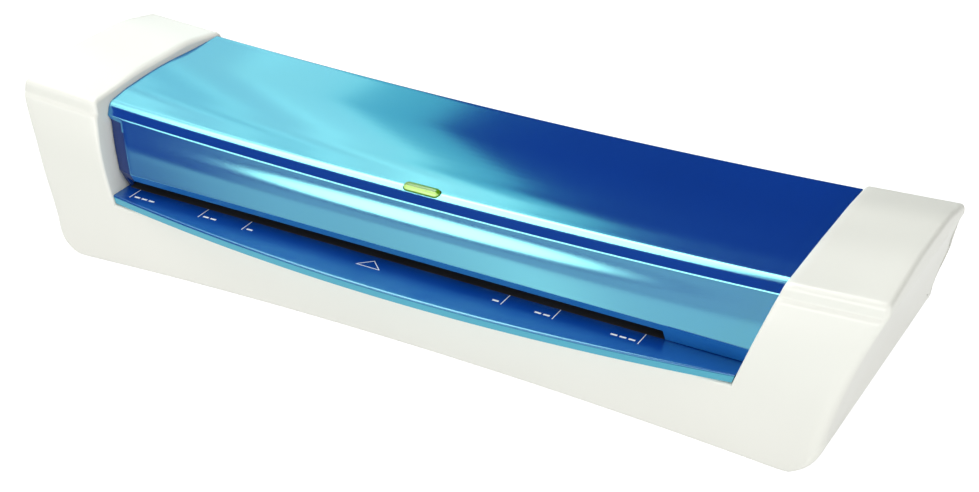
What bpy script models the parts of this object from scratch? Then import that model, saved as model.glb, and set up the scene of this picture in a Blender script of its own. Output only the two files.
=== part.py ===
"""Pouch laminator, modelled in metres: X to the right, Y to the back, Z up, standing on Z = 0.

A white casing (two end caps and an apron in one moulding, a rear cover and a base plate) holds a
blue top cover and a blue feed tray. Inside are two side frames with a pair of geared rollers, two
heater plates, a geared motor, the control board and the push button's parts.
"""
import math

import bmesh
import bpy
from mathutils import Vector

MM = 0.001

# ---------------------------------------------------------------- driving dimensions
GAP = 0.35 * MM                 # room between pieces that touch
WALL = 2.4 * MM                 # casing wall
CASE_HALF_X = 177.5 * MM        # half the overall width
CASE_BOTTOM = 2.8 * MM          # underside of the casing above the table
CASE_FRONT = -57.5 * MM         # front face of the caps and the apron
END_KNEE_Z = 17.1 * MM          # below this height the ends round under
END_KNEE_X = 162.6 * MM         # half width at that height
BOTTOM_HALF_X = 147.0 * MM      # half width of the flat underside
APRON_ARCH = 4.8 * MM           # how far the apron's lower edge rises in the middle
CAP_INNER_X = 142.0 * MM        # half distance between the caps at their top edge
TOP_SAG = 3.2 * MM              # how far the top dips between the caps
CAP_DROP = 1.7 * MM             # how far the caps' top falls towards the cover
CAP_ARCH_DROP = 2.0 * MM        # extra fall at the highest line of the arch
FRONT_RIM = 5.0 * MM            # rounding between front face and ends
TOP_RIM = 1.8 * MM              # rounding between top and ends
BOTTOM_RIM = 0.6 * MM
BASE_HALF_X = 143.5 * MM        # base plate that closes the underside
BASE_Y = (-40.5 * MM, 49.0 * MM)
BASE_THICK = 2.4 * MM

TRAY_TOP = 35.1 * MM            # upper face of the feed tray
TRAY_THICK = 3.5 * MM
TRAY_HALF_X = 130.8 * MM        # half distance between the caps at the tray
TRAY_BOW = 11.0 * MM            # how far the tray's front edge bows forward
TRAY_FRONT_Y = -67.5 * MM       # front edge of the tray in the middle
TRAY_REAR_Y = -36.0 * MM
WALL_SLOPE = (CAP_INNER_X - TRAY_HALF_X) / (69.4 * MM - TRAY_TOP)

SLOT_X = (-129.3 * MM, 100.0 * MM)   # pouch path between its side guides
SLOT_HEIGHT = 3.9 * MM          # mouth of the slot above the tray
PATH_HEIGHT = 2.4 * MM          # pouch path between the heater plates
EXIT_Z = (34.4 * MM, 40.6 * MM)
NIP_Z = TRAY_TOP + PATH_HEIGHT / 2
ROLLER_Y = 7.0 * MM
ROLLER_R = 10.5 * MM
SHAFT_R = 4.0 * MM
MODULE = 1.065 * MM             # gear module; twenty teeth give the rollers' spacing
ROLLER_TEETH = 20
IDLER_TEETH = 14
PINION_TEETH = 12
GEAR_X = (110.0 * MM, 116.5 * MM)
MOTOR_AXIS = (-15.0 * MM, 33.0 * MM)
MOTOR_R = 21.0 * MM
MOTOR_X = (121.0 * MM, 137.0 * MM)
BRACKET_X = 118.8 * MM
BRACKET_THICK = 1.2 * MM
FRAME_THICK = 1.6 * MM
FRAME_LEFT_X = -136.0 * MM
FRAME_RIGHT_X = 105.4 * MM
BUSH_R = 5.8 * MM
PLATE_Y = (-34.0 * MM, -5.0 * MM)   # heater plates, front to back
PLATE_THICK = 1.6 * MM
HEATER_THICK = 1.0 * MM
BOARD_X = 142.0 * MM            # control board in the right cap
BOARD_THICK = 1.6 * MM
GLAND_XZ = (144.0 * MM, 15.5 * MM)
GLAND_HOLE_R = 4.6 * MM
REAR_FACE_Y = 63.0 * MM         # outer face of the rear cover at the gland

BUTTON_AT = Vector((0.5 * MM, -40.3 * MM, 63.8 * MM))
BUTTON_OUT = Vector((0.0, -0.545, 0.838)).normalized()
BUTTON_LENGTH = 15.0 * MM
BUTTON_WIDTH = 3.6 * MM
BUTTON_TRAVEL = 0.9 * MM
BUTTON_DEPTH = 3.4 * MM         # how far the button reaches below its centre
SWITCH_DEPTH = 10.2 * MM        # face of the switch board below the same point

FOOT_XY = [(x * MM, y * MM) for x in (-128, 128) for y in (-30, 40)]
SCREW_XY = [(x * MM, y * MM) for x in (-140.5, 100.5) for y in (-24, 24)]

ROUND = 24                      # facets of a round piece
ROUND_SMALL = 12

# (y, z, radius) of the casing's side outline at its ends, in order round the section
CASE_CORNERS = [
    (CASE_FRONT, CASE_BOTTOM, 2.0 * MM),
    (CASE_FRONT, 46.4 * MM, 100.0 * MM),
    (-48.2 * MM, 71.1 * MM, 3.0 * MM),
    (-20.0 * MM, 74.7 * MM, 120.0 * MM),
    (12.0 * MM, 74.4 * MM, 70.0 * MM),
    (32.6 * MM, 70.0 * MM, 2.0 * MM),
    (33.4 * MM, 65.9 * MM, 1.0 * MM),
    (68.9 * MM, 33.2 * MM, 5.0 * MM),
    (63.0 * MM, 23.1 * MM, 10.0 * MM),
    (62.6 * MM, CASE_BOTTOM, 11.0 * MM),
    (-41.0 * MM, CASE_BOTTOM, 4.0 * MM),
]
CASE_STEPS = [1, 4, 2, 3, 3, 1, 1, 3, 2, 3, 1]

# (y, z, radius) of the cover from the slot's lip, over the crease, to the back edge
COVER_CORNERS = [
    (-49.2 * MM, TRAY_TOP + GAP, 0.0),
    (-47.3 * MM, 49.0 * MM, 60.0 * MM),
    (-43.7 * MM, 64.5 * MM, 0.0),
    (-40.8 * MM, 68.7 * MM, 2.7 * MM),
    (-30.0 * MM, 71.1 * MM, 60.0 * MM),
    (-8.0 * MM, 73.1 * MM, 150.0 * MM),
    (31.0 * MM, 69.7 * MM, 2.5 * MM),
    (31.6 * MM, 66.2 * MM, 0.0),
]
COVER_STEPS = [0, 3, 0, 3, 2, 3, 2, 0]
COVER_THICK = 2.2 * MM

# region of the casing that the rear cover takes, as (y, z) corners
REAR_SPLIT = [
    (28.0 * MM, 65.4 * MM),
    (28.0 * MM, 63.9 * MM),
    (31.6 * MM, 62.4 * MM),
    (59.8 * MM, 36.4 * MM),
    (59.8 * MM, 14.0 * MM),
    (49.5 * MM, 5.5 * MM),
    (49.5 * MM, -10.0 * MM),
    (95.0 * MM, -10.0 * MM),
    (95.0 * MM, 65.4 * MM),
]


# ---------------------------------------------------------------- scene helpers
def clear_scene():
    """Remove every object of the scene that the script runs in."""
    for obj in list(bpy.data.objects):
        bpy.data.objects.remove(obj, do_unlink=True)


def new_collection(name):
    """Make a collection linked to the scene."""
    group = bpy.data.collections.new(name)
    bpy.context.scene.collection.children.link(group)
    return group


def make_material(name, colour, roughness, metallic=0.0):
    """Make a Principled material from a linear colour triple."""
    material = bpy.data.materials.new(name)
    material.use_nodes = True
    shader = material.node_tree.nodes["Principled BSDF"]
    shader.inputs["Base Color"].default_value = (*colour, 1.0)
    shader.inputs["Roughness"].default_value = roughness
    shader.inputs["Metallic"].default_value = metallic
    return material


clear_scene()
PARTS = new_collection("pouch_laminator")
CUTTERS = new_collection("cutters")

WHITE = make_material("white_casing", (0.93, 0.93, 0.88), 0.28)
BLUE = make_material("blue_cover", (0.05, 0.36, 0.62), 0.12)
NAVY = make_material("blue_tray", (0.02, 0.16, 0.42), 0.2)
GREEN = make_material("green_lens", (0.24, 0.55, 0.06), 0.25)
GREY = make_material("grey_plastic", (0.30, 0.31, 0.32), 0.5)
RUBBER = make_material("black_rubber", (0.03, 0.03, 0.03), 0.8)
SILICONE = make_material("roller_silicone", (0.55, 0.16, 0.10), 0.6)
STEEL = make_material("zinc_steel", (0.62, 0.63, 0.64), 0.35, 1.0)
ALUMINIUM = make_material("heater_aluminium", (0.75, 0.75, 0.76), 0.3, 1.0)
NYLON = make_material("gear_nylon", (0.86, 0.85, 0.80), 0.45)
BRASS = make_material("bronze_bush", (0.65, 0.48, 0.22), 0.35, 1.0)
MICA = make_material("mica_sheet", (0.52, 0.44, 0.30), 0.6)
BOARD = make_material("circuit_board", (0.05, 0.26, 0.12), 0.45)
DARK = make_material("dark_component", (0.06, 0.06, 0.07), 0.4)
CLEAR = make_material("clear_guide", (0.85, 0.92, 0.86), 0.1)


def add_object(name, mesh, material, cutter=False):
    """Link a mesh as a part, or as a hidden cutter where no material is given."""
    obj = bpy.data.objects.new(name, mesh)
    if cutter:
        obj.display_type = "WIRE"
        obj.hide_render = True
        CUTTERS.objects.link(obj)
    else:
        mesh.materials.append(material)
        PARTS.objects.link(obj)
    return obj


def object_from_bmesh(name, bm, material=None, cutter=False):
    """Turn a bmesh into an object with its faces pointing out."""
    bmesh.ops.recalc_face_normals(bm, faces=bm.faces)
    mesh = bpy.data.meshes.new(name)
    bm.to_mesh(mesh)
    bm.free()
    return add_object(name, mesh, material, cutter)


def smooth(obj, angle=35.0):
    """Shade an object smooth up to the given edge angle."""
    obj.data.shade_smooth()
    obj.data.set_sharp_from_angle(angle=math.radians(angle))
    return obj


def boolean(obj, other, operation="DIFFERENCE"):
    """Add an exact Boolean with another object: a cut, a common share or a union."""
    modifier = obj.modifiers.new(f"{operation.lower()}_{other.name}", "BOOLEAN")
    modifier.operation = operation
    modifier.solver = "EXACT"
    modifier.object = other


def bevel(obj, width, segments=1):
    """Round an object's sharp edges."""
    modifier = obj.modifiers.new("bevel", "BEVEL")
    modifier.width = width
    modifier.segments = segments
    modifier.limit_method = "ANGLE"
    modifier.angle_limit = math.radians(40)


# ---------------------------------------------------------------- shape helpers
def box(name, low, high, material=None, cutter=False):
    """Make a box from its lowest to its highest corner."""
    bm = bmesh.new()
    bmesh.ops.create_cube(bm, size=1.0)
    size = Vector(high) - Vector(low)
    bmesh.ops.scale(bm, vec=size, verts=bm.verts)
    bmesh.ops.translate(bm, vec=Vector(low) + size / 2, verts=bm.verts)
    return object_from_bmesh(name, bm, material, cutter)


def cylinder(name, radius, start, end, material=None, cutter=False, segments=ROUND):
    """Make a capped cylinder between two points; its origin is the start point."""
    along = Vector(end) - Vector(start)
    bm = bmesh.new()
    bmesh.ops.create_cone(bm, cap_ends=True, segments=segments, radius1=radius,
                          radius2=radius, depth=along.length)
    bmesh.ops.translate(bm, vec=(0, 0, along.length / 2), verts=bm.verts)
    obj = object_from_bmesh(name, bm, material, cutter)
    obj.location = start
    obj.rotation_mode = "QUATERNION"
    obj.rotation_quaternion = Vector((0, 0, 1)).rotation_difference(along)
    return smooth(obj)


def turned(name, profile, start, along, material=None, cutter=False, steps=ROUND):
    """Turn a closed (radius, height) profile about an axis from start; height runs along it."""
    mesh = bpy.data.meshes.new(name)
    points = [(radius, 0.0, height) for radius, height in profile]
    edges = [(i, (i + 1) % len(points)) for i in range(len(points))]
    mesh.from_pydata(points, edges, [])
    obj = add_object(name, mesh, material, cutter)
    screw = obj.modifiers.new("turn", "SCREW")
    screw.steps = steps
    screw.render_steps = steps
    screw.use_merge_vertices = True
    screw.merge_threshold = 0.00001
    screw.use_smooth_shade = False
    obj.location = start
    obj.rotation_mode = "QUATERNION"
    obj.rotation_quaternion = Vector((0, 0, 1)).rotation_difference(Vector(along))
    return obj


def lathe(name, profile, material):
    """Turn an open (radius, height) profile that starts and ends on the axis."""
    mesh = bpy.data.meshes.new(name)
    points = [(radius, 0.0, height) for radius, height in profile]
    mesh.from_pydata(points, [(i, i + 1) for i in range(len(points) - 1)], [])
    obj = add_object(name, mesh, material)
    screw = obj.modifiers.new("turn", "SCREW")
    screw.steps = ROUND
    screw.render_steps = ROUND
    screw.use_merge_vertices = True
    screw.merge_threshold = 0.00001
    return obj


def ring_profile(inner, outer, length):
    """Closed profile of a plain ring, running down its outer side."""
    return [(outer, length), (outer, 0.0), (inner, 0.0), (inner, length)]


def plate(name, outline, thickness, material=None, cutter=False):
    """Extrude a closed 2-D outline to a plate in the local XY plane, from Z = 0 upwards."""
    curve = bpy.data.curves.new(name, "CURVE")
    curve.dimensions = "2D"
    curve.fill_mode = "BOTH"
    curve.extrude = thickness / 2
    spline = curve.splines.new("POLY")
    spline.points.add(len(outline) - 1)
    for point, (a, b) in zip(spline.points, outline):
        point.co = (a, b, 0.0, 1.0)
    spline.use_cyclic_u = True
    guide = bpy.data.objects.new(name + "_outline", curve)
    CUTTERS.objects.link(guide)
    depsgraph = bpy.context.evaluated_depsgraph_get()
    mesh = bpy.data.meshes.new_from_object(guide.evaluated_get(depsgraph))
    bpy.data.objects.remove(guide)
    bm = bmesh.new()
    bm.from_mesh(mesh)
    bpy.data.meshes.remove(mesh)
    bmesh.ops.remove_doubles(bm, verts=bm.verts, dist=0.000005)
    bmesh.ops.translate(bm, vec=(0, 0, thickness / 2), verts=bm.verts)
    return object_from_bmesh(name, bm, material, cutter)


def side_plate(name, outline, x_low, x_high, material=None, cutter=False):
    """Extrude a (y, z) outline along X between two positions."""
    obj = plate(name, outline, x_high - x_low, material, cutter)
    for vertex in obj.data.vertices:
        y, z, x = vertex.co
        vertex.co = (x_low + x, y, z)
    return obj


def arc_points(centre, radius, start, end, count):
    """Points on an arc in degrees, both ends included."""
    angles = [math.radians(start + (end - start) * i / count) for i in range(count + 1)]
    return [(centre[0] + radius * math.cos(a), centre[1] + radius * math.sin(a))
            for a in angles]


def capsule_outline(length, radius, steps=6):
    """Outline with round ends, lying along the first axis and centred on zero."""
    half = length / 2 - radius
    return (arc_points((half, 0.0), radius, -90, 90, steps)
            + arc_points((-half, 0.0), radius, 90, 270, steps))


def inset_corners(corners, inset):
    """Move a closed polygon's sides inwards and shrink its corner radii."""
    moved = []
    count = len(corners)
    for i in range(count):
        before = Vector(corners[i - 1][:2])
        here = Vector(corners[i][:2])
        after = Vector(corners[(i + 1) % count][:2])
        d0 = (here - before).normalized()
        d1 = (after - here).normalized()
        n0 = Vector((d0.y, -d0.x))
        n1 = Vector((d1.y, -d1.x))
        mitre = (n0 + n1) / (1.0 + n0.dot(n1))
        point = here + mitre * inset
        moved.append((point.x, point.y, max(corners[i][2] - inset, 0.4 * MM)))
    return moved


def fillet(before, corner, after, radius, steps):
    """Round one corner: points with their outward normals for a clockwise outline."""
    here = Vector(corner)
    d0 = (here - Vector(before)).normalized()
    d1 = (Vector(after) - here).normalized()
    turn = d0.angle_signed(d1)
    reach = radius * math.tan(abs(turn) / 2)
    side = 1.0 if turn > 0 else -1.0
    n0 = Vector((-d0.y, d0.x))
    centre = here - d0 * reach - n0 * side * radius
    points = []
    for step in range(steps + 1):
        angle = -turn * step / steps if steps else 0.0
        c = math.cos(angle)
        s = math.sin(angle)
        normal = Vector((n0.x * c - n0.y * s, n0.x * s + n0.y * c))
        points.append((centre + normal * side * radius, normal))
    return points


def rounded_outline(corners, steps, closed=True):
    """Round every corner of an outline; gives (point, outward normal) pairs."""
    result = []
    last = len(corners) - 1
    for i, (y, z, radius) in enumerate(corners):
        if not closed and i in (0, last):
            ahead = Vector(corners[1][:2]) if i == 0 else Vector((y, z))
            behind = Vector((y, z)) if i == 0 else Vector(corners[last - 1][:2])
            along = (ahead - behind).normalized()
            result.append((Vector((y, z)), Vector((-along.y, along.x))))
            continue
        before = corners[i - 1][:2]
        after = corners[(i + 1) % len(corners)][:2]
        result += fillet(before, (y, z), after, radius, steps[i])
    return result


def ease(value, start, end):
    """Smooth step from 0 at start to 1 at end."""
    u = min(max((value - start) / (end - start), 0.0), 1.0)
    return u * u * (3.0 - 2.0 * u)


# ---------------------------------------------------------------- casing geometry
def end_half_width(z):
    """Half width of the casing at a height: the ends lean out and round under."""
    rise = z - END_KNEE_Z
    if rise >= 0:
        return min(END_KNEE_X + 0.18 * rise + 2.4 * rise * rise, CASE_HALF_X)
    drop = min(-rise / (END_KNEE_Z - CASE_BOTTOM), 1.0)
    return BOTTOM_HALF_X + (END_KNEE_X - BOTTOM_HALF_X) * math.sqrt(1.0 - drop * drop)


def bend(x, y, z):
    """Height change of a casing point: the top sags between the caps, the apron arches."""
    x = abs(x)
    arch = max(1.0 - ((y + 8.0 * MM) / (40.0 * MM)) ** 2, 0.0)
    towards_cover = min(max((176.0 * MM - x) / (176.0 * MM - CAP_INNER_X), 0.0), 1.0)
    sag = TOP_SAG * max(1.0 - (x / CAP_INNER_X) ** 2, 0.0)
    drop = (CAP_DROP + CAP_ARCH_DROP * arch) * towards_cover + sag
    lift = APRON_ARCH * max(1.0 - (x / BOTTOM_HALF_X) ** 2, 0.0)
    near_front = 1.0 - ease(y, CASE_FRONT + 2.0 * MM, CASE_FRONT + 15.0 * MM)
    near_bottom = 1.0 - ease(z, CASE_BOTTOM + 1.0 * MM, 26.0 * MM)
    return lift * near_front * near_bottom - drop * ease(z, 48.0 * MM, 66.0 * MM)


def wall_x(z):
    """Half distance between the caps' inner walls at a height."""
    return TRAY_HALF_X + WALL_SLOPE * (z - TRAY_TOP)


def bridge_rings(bm, rings):
    """Join equally long rings of vertices with quads."""
    for low, high in zip(rings, rings[1:]):
        count = len(low)
        for i in range(count):
            j = (i + 1) % count
            bm.faces.new((low[i], low[j], high[j], high[i]))


def rim_radius(normal, z):
    """Rounding between a side of the section and the end face."""
    if normal.y < -0.5:
        return BOTTOM_RIM
    if normal.x < -0.7:
        share = ease(z, 4.0 * MM, 16.0 * MM) * (1.0 - ease(z, 46.0 * MM, 68.0 * MM))
        return TOP_RIM + (FRONT_RIM - TOP_RIM) * share
    return TOP_RIM


def casing_body(name, inset, material=None, cutter=False):
    """Loft the whole casing as one closed body, inset from its outer surface."""
    corners = inset_corners(CASE_CORNERS, inset)
    outline = rounded_outline(corners, CASE_STEPS)
    centre = Vector((5.0 * MM, 38.0 * MM))
    bm = bmesh.new()

    def end_x(z):
        return end_half_width(z - inset) - inset

    def rim_of(normal, z):
        return 0.3 * MM if inset else rim_radius(normal, z)

    def ring(points):
        return [bm.verts.new((x, y, z + bend(x, y, z))) for x, y, z in points]

    rings = []
    for share in (0.0, 0.22, 0.42, 0.62, 0.76, 0.84, 0.93, 1.0):
        rings.append(ring([(share * (end_x(p.y) - rim_of(n, p.y)), p.x, p.y)
                           for p, n in outline]))
    rim = []
    for degrees in (35.0, 65.0, 90.0):
        tilt = math.radians(degrees)
        rim = []
        for p, n in outline:
            radius = rim_of(n, p.y)
            q = p - n * radius * (1.0 - math.cos(tilt))
            rim.append((end_x(q.y) - radius * (1.0 - math.sin(tilt)), q.x, q.y))
        rings.append(ring(rim))
    for share in (0.95, 0.84, 0.68, 0.42):
        points = []
        for _, y, z in rim:
            q = centre + (Vector((y, z)) - centre) * share
            points.append((end_x(q.y), q.x, q.y))
        rings.append(ring(points))
    bridge_rings(bm, rings)
    hub = bm.verts.new((end_x(centre.y), centre.x, centre.y))
    last = rings[-1]
    for i, vertex in enumerate(last):
        bm.faces.new((vertex, last[(i + 1) % len(last)], hub))
    bmesh.ops.triangulate(bm, faces=bm.faces)
    obj = object_from_bmesh(name, bm, material, cutter)
    flip = obj.data.polygons[0].normal.y > 0
    if flip:
        obj.data.flip_normals()
    mirror = obj.modifiers.new("mirror", "MIRROR")
    mirror.use_axis = (True, False, False)
    mirror.use_clip = True
    mirror.merge_threshold = 0.00001
    return smooth(obj, 30.0)


def split_region(name, corners, stations):
    """Extrude a (y, z) region along X, bent like the casing, as a closed cutter."""
    bm = bmesh.new()
    rings = []
    for x in stations:
        rings.append([bm.verts.new((x, y, z + bend(x, y, z))) for y, z in corners])
    bridge_rings(bm, rings)
    bm.faces.new(rings[0])
    bm.faces.new(reversed(rings[-1]))
    bmesh.ops.triangulate(bm, faces=bm.faces)
    return object_from_bmesh(name, bm, cutter=True)


def rear_region(name, grow):
    """The rear cover's share of the casing, grown or shrunk by half the parting gap."""
    corners = inset_corners([(y, z, 0.0) for y, z in reversed(REAR_SPLIT)], grow)
    stations = [CASE_HALF_X * 1.2 * i / 12 for i in range(-12, 13)]
    return split_region(name, [(y, z) for y, z, _ in corners], stations)


def cap_wall_slabs():
    """The two sloping inner walls of the caps, which the hollow leaves standing."""
    outline = [(-75 * MM, 27 * MM), (-38 * MM, 27 * MM), (-38 * MM, 61 * MM),
               (45 * MM, 61 * MM), (45 * MM, 95 * MM), (-75 * MM, 95 * MM)]
    slab = side_plate("cap_wall_cutter", outline, -3.0 * MM, WALL, cutter=True)
    for vertex in slab.data.vertices:
        vertex.co.x += wall_x(vertex.co.z)
    mirror = slab.modifiers.new("mirror", "MIRROR")
    mirror.merge_threshold = 0.00001
    return slab


def recess_block(name, side_gap, floor):
    """The open space between the caps above a floor height, less a gap at each side."""
    bm = bmesh.new()
    bmesh.ops.create_cube(bm, size=1.0)
    for vertex in bm.verts:
        z = floor if vertex.co.z < 0 else 100.0 * MM
        x = math.copysign(wall_x(z) - side_gap, vertex.co.x)
        vertex.co = (x, math.copysign(100.0 * MM, vertex.co.y), z)
    return object_from_bmesh(name, bm, cutter=True)


def build_housing():
    """White moulding: both end caps and the apron under the tray."""
    hollow = casing_body("casing_hollow", WALL, cutter=True)
    boolean(hollow, cap_wall_slabs())
    housing = casing_body("housing", 0.0, WHITE)
    underside = box("base_opening_cutter",
                    (-BASE_HALF_X - GAP, BASE_Y[0] - GAP, -5 * MM),
                    (BASE_HALF_X + GAP, BASE_Y[1] + 2 * MM, 9 * MM), cutter=True)
    recess = recess_block("recess_cutter", 0.0, TRAY_TOP - TRAY_THICK - GAP)
    for cutter in (hollow, rear_region("rear_share_grown", -GAP / 2), underside, recess):
        boolean(housing, cutter)


def build_rear_cover():
    """Sloping back of the casing with the pouch exit, from the cover's edge to the base."""
    rear = casing_body("rear_cover", 0.0, WHITE)
    exit_slot = box("exit_cutter", (SLOT_X[0], 50 * MM, EXIT_Z[0]),
                    (SLOT_X[1], 90 * MM, EXIT_Z[1]), cutter=True)
    gland_hole = cylinder("gland_hole_cutter", GLAND_HOLE_R,
                          (GLAND_XZ[0], 54 * MM, GLAND_XZ[1]),
                          (GLAND_XZ[0], 80 * MM, GLAND_XZ[1]), cutter=True, segments=20)
    vents = vent_slots("rear_vent_cutter", 11, 9.0 * MM, 40.0 * MM, 62.0 * MM)
    for cutter in (exit_slot, gland_hole, vents, casing_body("rear_hollow", WALL, cutter=True)):
        boolean(rear, cutter)
    boolean(rear, rear_region("rear_share", GAP / 2), "INTERSECT")


def vent_slots(name, count, pitch, y_low, y_high):
    """A row of upright cooling slots in the sloping back, above the exit."""
    bm = bmesh.new()
    for i in range(count):
        made = bmesh.ops.create_cube(bm, size=1.0)
        x = (i - (count - 1) / 2) * pitch
        for vertex in made["verts"]:
            vertex.co = (x + vertex.co.x * 2.6 * MM,
                         y_low if vertex.co.y < 0 else y_high,
                         46.0 * MM if vertex.co.z < 0 else 55.0 * MM)
    return object_from_bmesh(name, bm, cutter=True)


def build_base():
    """Flat base plate with cooling slots and screw holes."""
    outline = [(-BASE_HALF_X, BASE_Y[0]), (BASE_HALF_X, BASE_Y[0]),
               (BASE_HALF_X, BASE_Y[1]), (-BASE_HALF_X, BASE_Y[1])]
    base = plate("base_plate", outline, BASE_THICK, WHITE)
    base.location.z = CASE_BOTTOM
    bm = bmesh.new()
    for i in range(9):
        made = bmesh.ops.create_cube(bm, size=1.0)
        for vertex in made["verts"]:
            vertex.co = ((i - 4) * 14 * MM + vertex.co.x * 4 * MM, vertex.co.y * 44 * MM,
                         vertex.co.z * 20 * MM)
    boolean(base, object_from_bmesh("base_vent_cutter", bm, cutter=True))
    for i, (x, y) in enumerate(SCREW_XY):
        boolean(base, cylinder(f"base_hole_cutter_{i + 1}", 1.8 * MM, (x, y, 0),
                               (x, y, 10 * MM), cutter=True, segments=12))


def build_feet():
    """Four rubber feet under the base."""
    profile = [(0.0, 2.45 * MM), (6.6 * MM, 2.45 * MM), (7.0 * MM, 2.0 * MM),
               (6.2 * MM, 0.0), (0.0, 0.0)]
    for i, (x, y) in enumerate(FOOT_XY):
        foot = lathe(f"foot_{i + 1}", profile, RUBBER)
        foot.location = (x, y, 0.0)


def build_screws():
    """Pan-head screws that hold the base plate to the side frames' feet."""
    profile = [(0.0, 7.4 * MM), (1.35 * MM, 7.0 * MM), (1.35 * MM, 2.45 * MM),
               (2.9 * MM, 2.45 * MM), (2.9 * MM, 1.5 * MM), (2.2 * MM, 0.9 * MM),
               (0.0, 0.9 * MM)]
    for i, (x, y) in enumerate(SCREW_XY):
        screw = lathe(f"base_screw_{i + 1}", profile, STEEL)
        screw.location = (x, y, 0.0)


# ---------------------------------------------------------------- cover, tray and button
def build_cover():
    """Blue top cover: front face, crease and waisted top in one thin shell."""
    outline = rounded_outline(COVER_CORNERS, COVER_STEPS, closed=False)
    bm = bmesh.new()
    rows = []
    stations = [0.0, 0.22, 0.44, 0.64, 0.82, 1.0]
    for share in stations:
        row = []
        for p, _ in outline:
            x = share * (wall_x(p.y) + 2.0 * MM)
            row.append(bm.verts.new((x, p.x, p.y + bend(x, p.x, p.y))))
        rows.append(row)
    for low, high in zip(rows, rows[1:]):
        for i in range(len(low) - 1):
            bm.faces.new((low[i], high[i], high[i + 1], low[i + 1]))
    cover = object_from_bmesh("top_cover", bm, BLUE)
    if cover.data.polygons[0].normal.y > 0:
        cover.data.flip_normals()
    mirror = cover.modifiers.new("mirror", "MIRROR")
    mirror.use_clip = True
    mirror.merge_threshold = 0.00001
    shell = cover.modifiers.new("shell", "SOLIDIFY")
    shell.thickness = COVER_THICK
    shell.offset = -1.0
    shell.use_even_offset = True
    slot = box("entry_cutter", (SLOT_X[0], -60 * MM, TRAY_TOP - 5 * MM),
               (SLOT_X[1], -40 * MM, TRAY_TOP + SLOT_HEIGHT), cutter=True)
    boolean(cover, recess_block("cover_trim", GAP, 20.0 * MM), "INTERSECT")
    boolean(cover, slot)
    boolean(cover, button_prism("button_hole_cutter", 0.35 * MM, -6 * MM, 6 * MM, None, True))
    smooth(cover, 30.0)


def build_tray():
    """Blue feed tray with a bowed front edge, running in under the cover."""
    shares = [1.0 - i / 8.0 for i in range(17)]
    bow = [(TRAY_HALF_X * s, TRAY_FRONT_Y + TRAY_BOW * s * s) for s in shares]
    outline = [(TRAY_HALF_X, TRAY_REAR_Y), *bow, (-TRAY_HALF_X, TRAY_REAR_Y)]
    tray = plate("feed_tray", outline, TRAY_THICK, NAVY)
    for vertex in tray.data.vertices:
        z = vertex.co.z + TRAY_TOP - TRAY_THICK
        vertex.co.x *= (wall_x(z) - GAP - 0.1 * MM) / TRAY_HALF_X
        vertex.co.z = z


def button_prism(name, grow, low, high, material, cutter=False):
    """Capsule-shaped prism along the button's axis, between two heights on it."""
    outline = capsule_outline(BUTTON_LENGTH + 2 * grow, BUTTON_WIDTH / 2 + grow)
    obj = plate(name, outline, high - low, material, cutter)
    obj.rotation_mode = "QUATERNION"
    obj.rotation_quaternion = Vector((0, 0, 1)).rotation_difference(BUTTON_OUT)
    obj.location = BUTTON_AT + BUTTON_OUT * low
    return obj


def build_button():
    """Green push button on the crease, with its light guide, switch and board."""
    button = button_prism("power_button", 0.0, -BUTTON_DEPTH, 0.9 * MM, GREEN)
    bevel(button, 0.7 * MM, 2)
    smooth(button)
    tilt = Vector((0, 0, 1)).rotation_difference(BUTTON_OUT)

    def on_axis(obj, depth):
        obj.rotation_mode = "QUATERNION"
        obj.rotation_quaternion = tilt
        obj.location = BUTTON_AT + BUTTON_OUT * depth

    board = box("switch_board", (-16 * MM, -6 * MM, -1.2 * MM), (16 * MM, 6 * MM, 0), BOARD)
    on_axis(board, -SWITCH_DEPTH - 0.4 * MM)
    plunger = SWITCH_DEPTH - BUTTON_DEPTH - BUTTON_TRAVEL - 0.3 * MM
    switch = box("tact_switch", (-3 * MM, -3 * MM, 0), (3 * MM, 3 * MM, plunger), DARK)
    on_axis(switch, -SWITCH_DEPTH)
    lamp = box("ready_lamp", (5.5 * MM, -1.5 * MM, 0), (9.5 * MM, 1.5 * MM, 2.0 * MM), CLEAR)
    on_axis(lamp, -SWITCH_DEPTH)


# ---------------------------------------------------------------- rollers and drive
def meshing_centre(first, reach_first, second, reach_second):
    """Lower of the two points at given distances from two centres."""
    a = Vector(first)
    gap = Vector(second) - a
    along = (reach_first ** 2 - reach_second ** 2 + gap.length ** 2) / (2 * gap.length)
    off = math.sqrt(reach_first ** 2 - along ** 2)
    unit = gap.normalized()
    return a + unit * along + Vector((-unit.y, unit.x)) * off


def pitch_radius(teeth):
    """Pitch radius of a gear of the common module."""
    return MODULE * teeth / 2


def mesh_phase(teeth, phase, centre, next_teeth, next_centre):
    """Rotation of the next gear so that its gap faces this gear's tooth."""
    away = Vector(next_centre) - Vector(centre)
    direction = math.atan2(away.y, away.x)
    pitch = 2 * math.pi / teeth
    offset = (phase - direction + pitch / 2) % pitch - pitch / 2
    ratio = teeth / next_teeth
    return direction + math.pi - offset * ratio - math.pi / next_teeth


LOWER_AXIS = (ROLLER_Y, NIP_Z - pitch_radius(ROLLER_TEETH))
UPPER_AXIS = (ROLLER_Y, NIP_Z + pitch_radius(ROLLER_TEETH))
IDLER_AXIS = tuple(meshing_centre(
    LOWER_AXIS, pitch_radius(ROLLER_TEETH) + pitch_radius(IDLER_TEETH),
    MOTOR_AXIS, pitch_radius(PINION_TEETH) + pitch_radius(IDLER_TEETH)))


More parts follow.
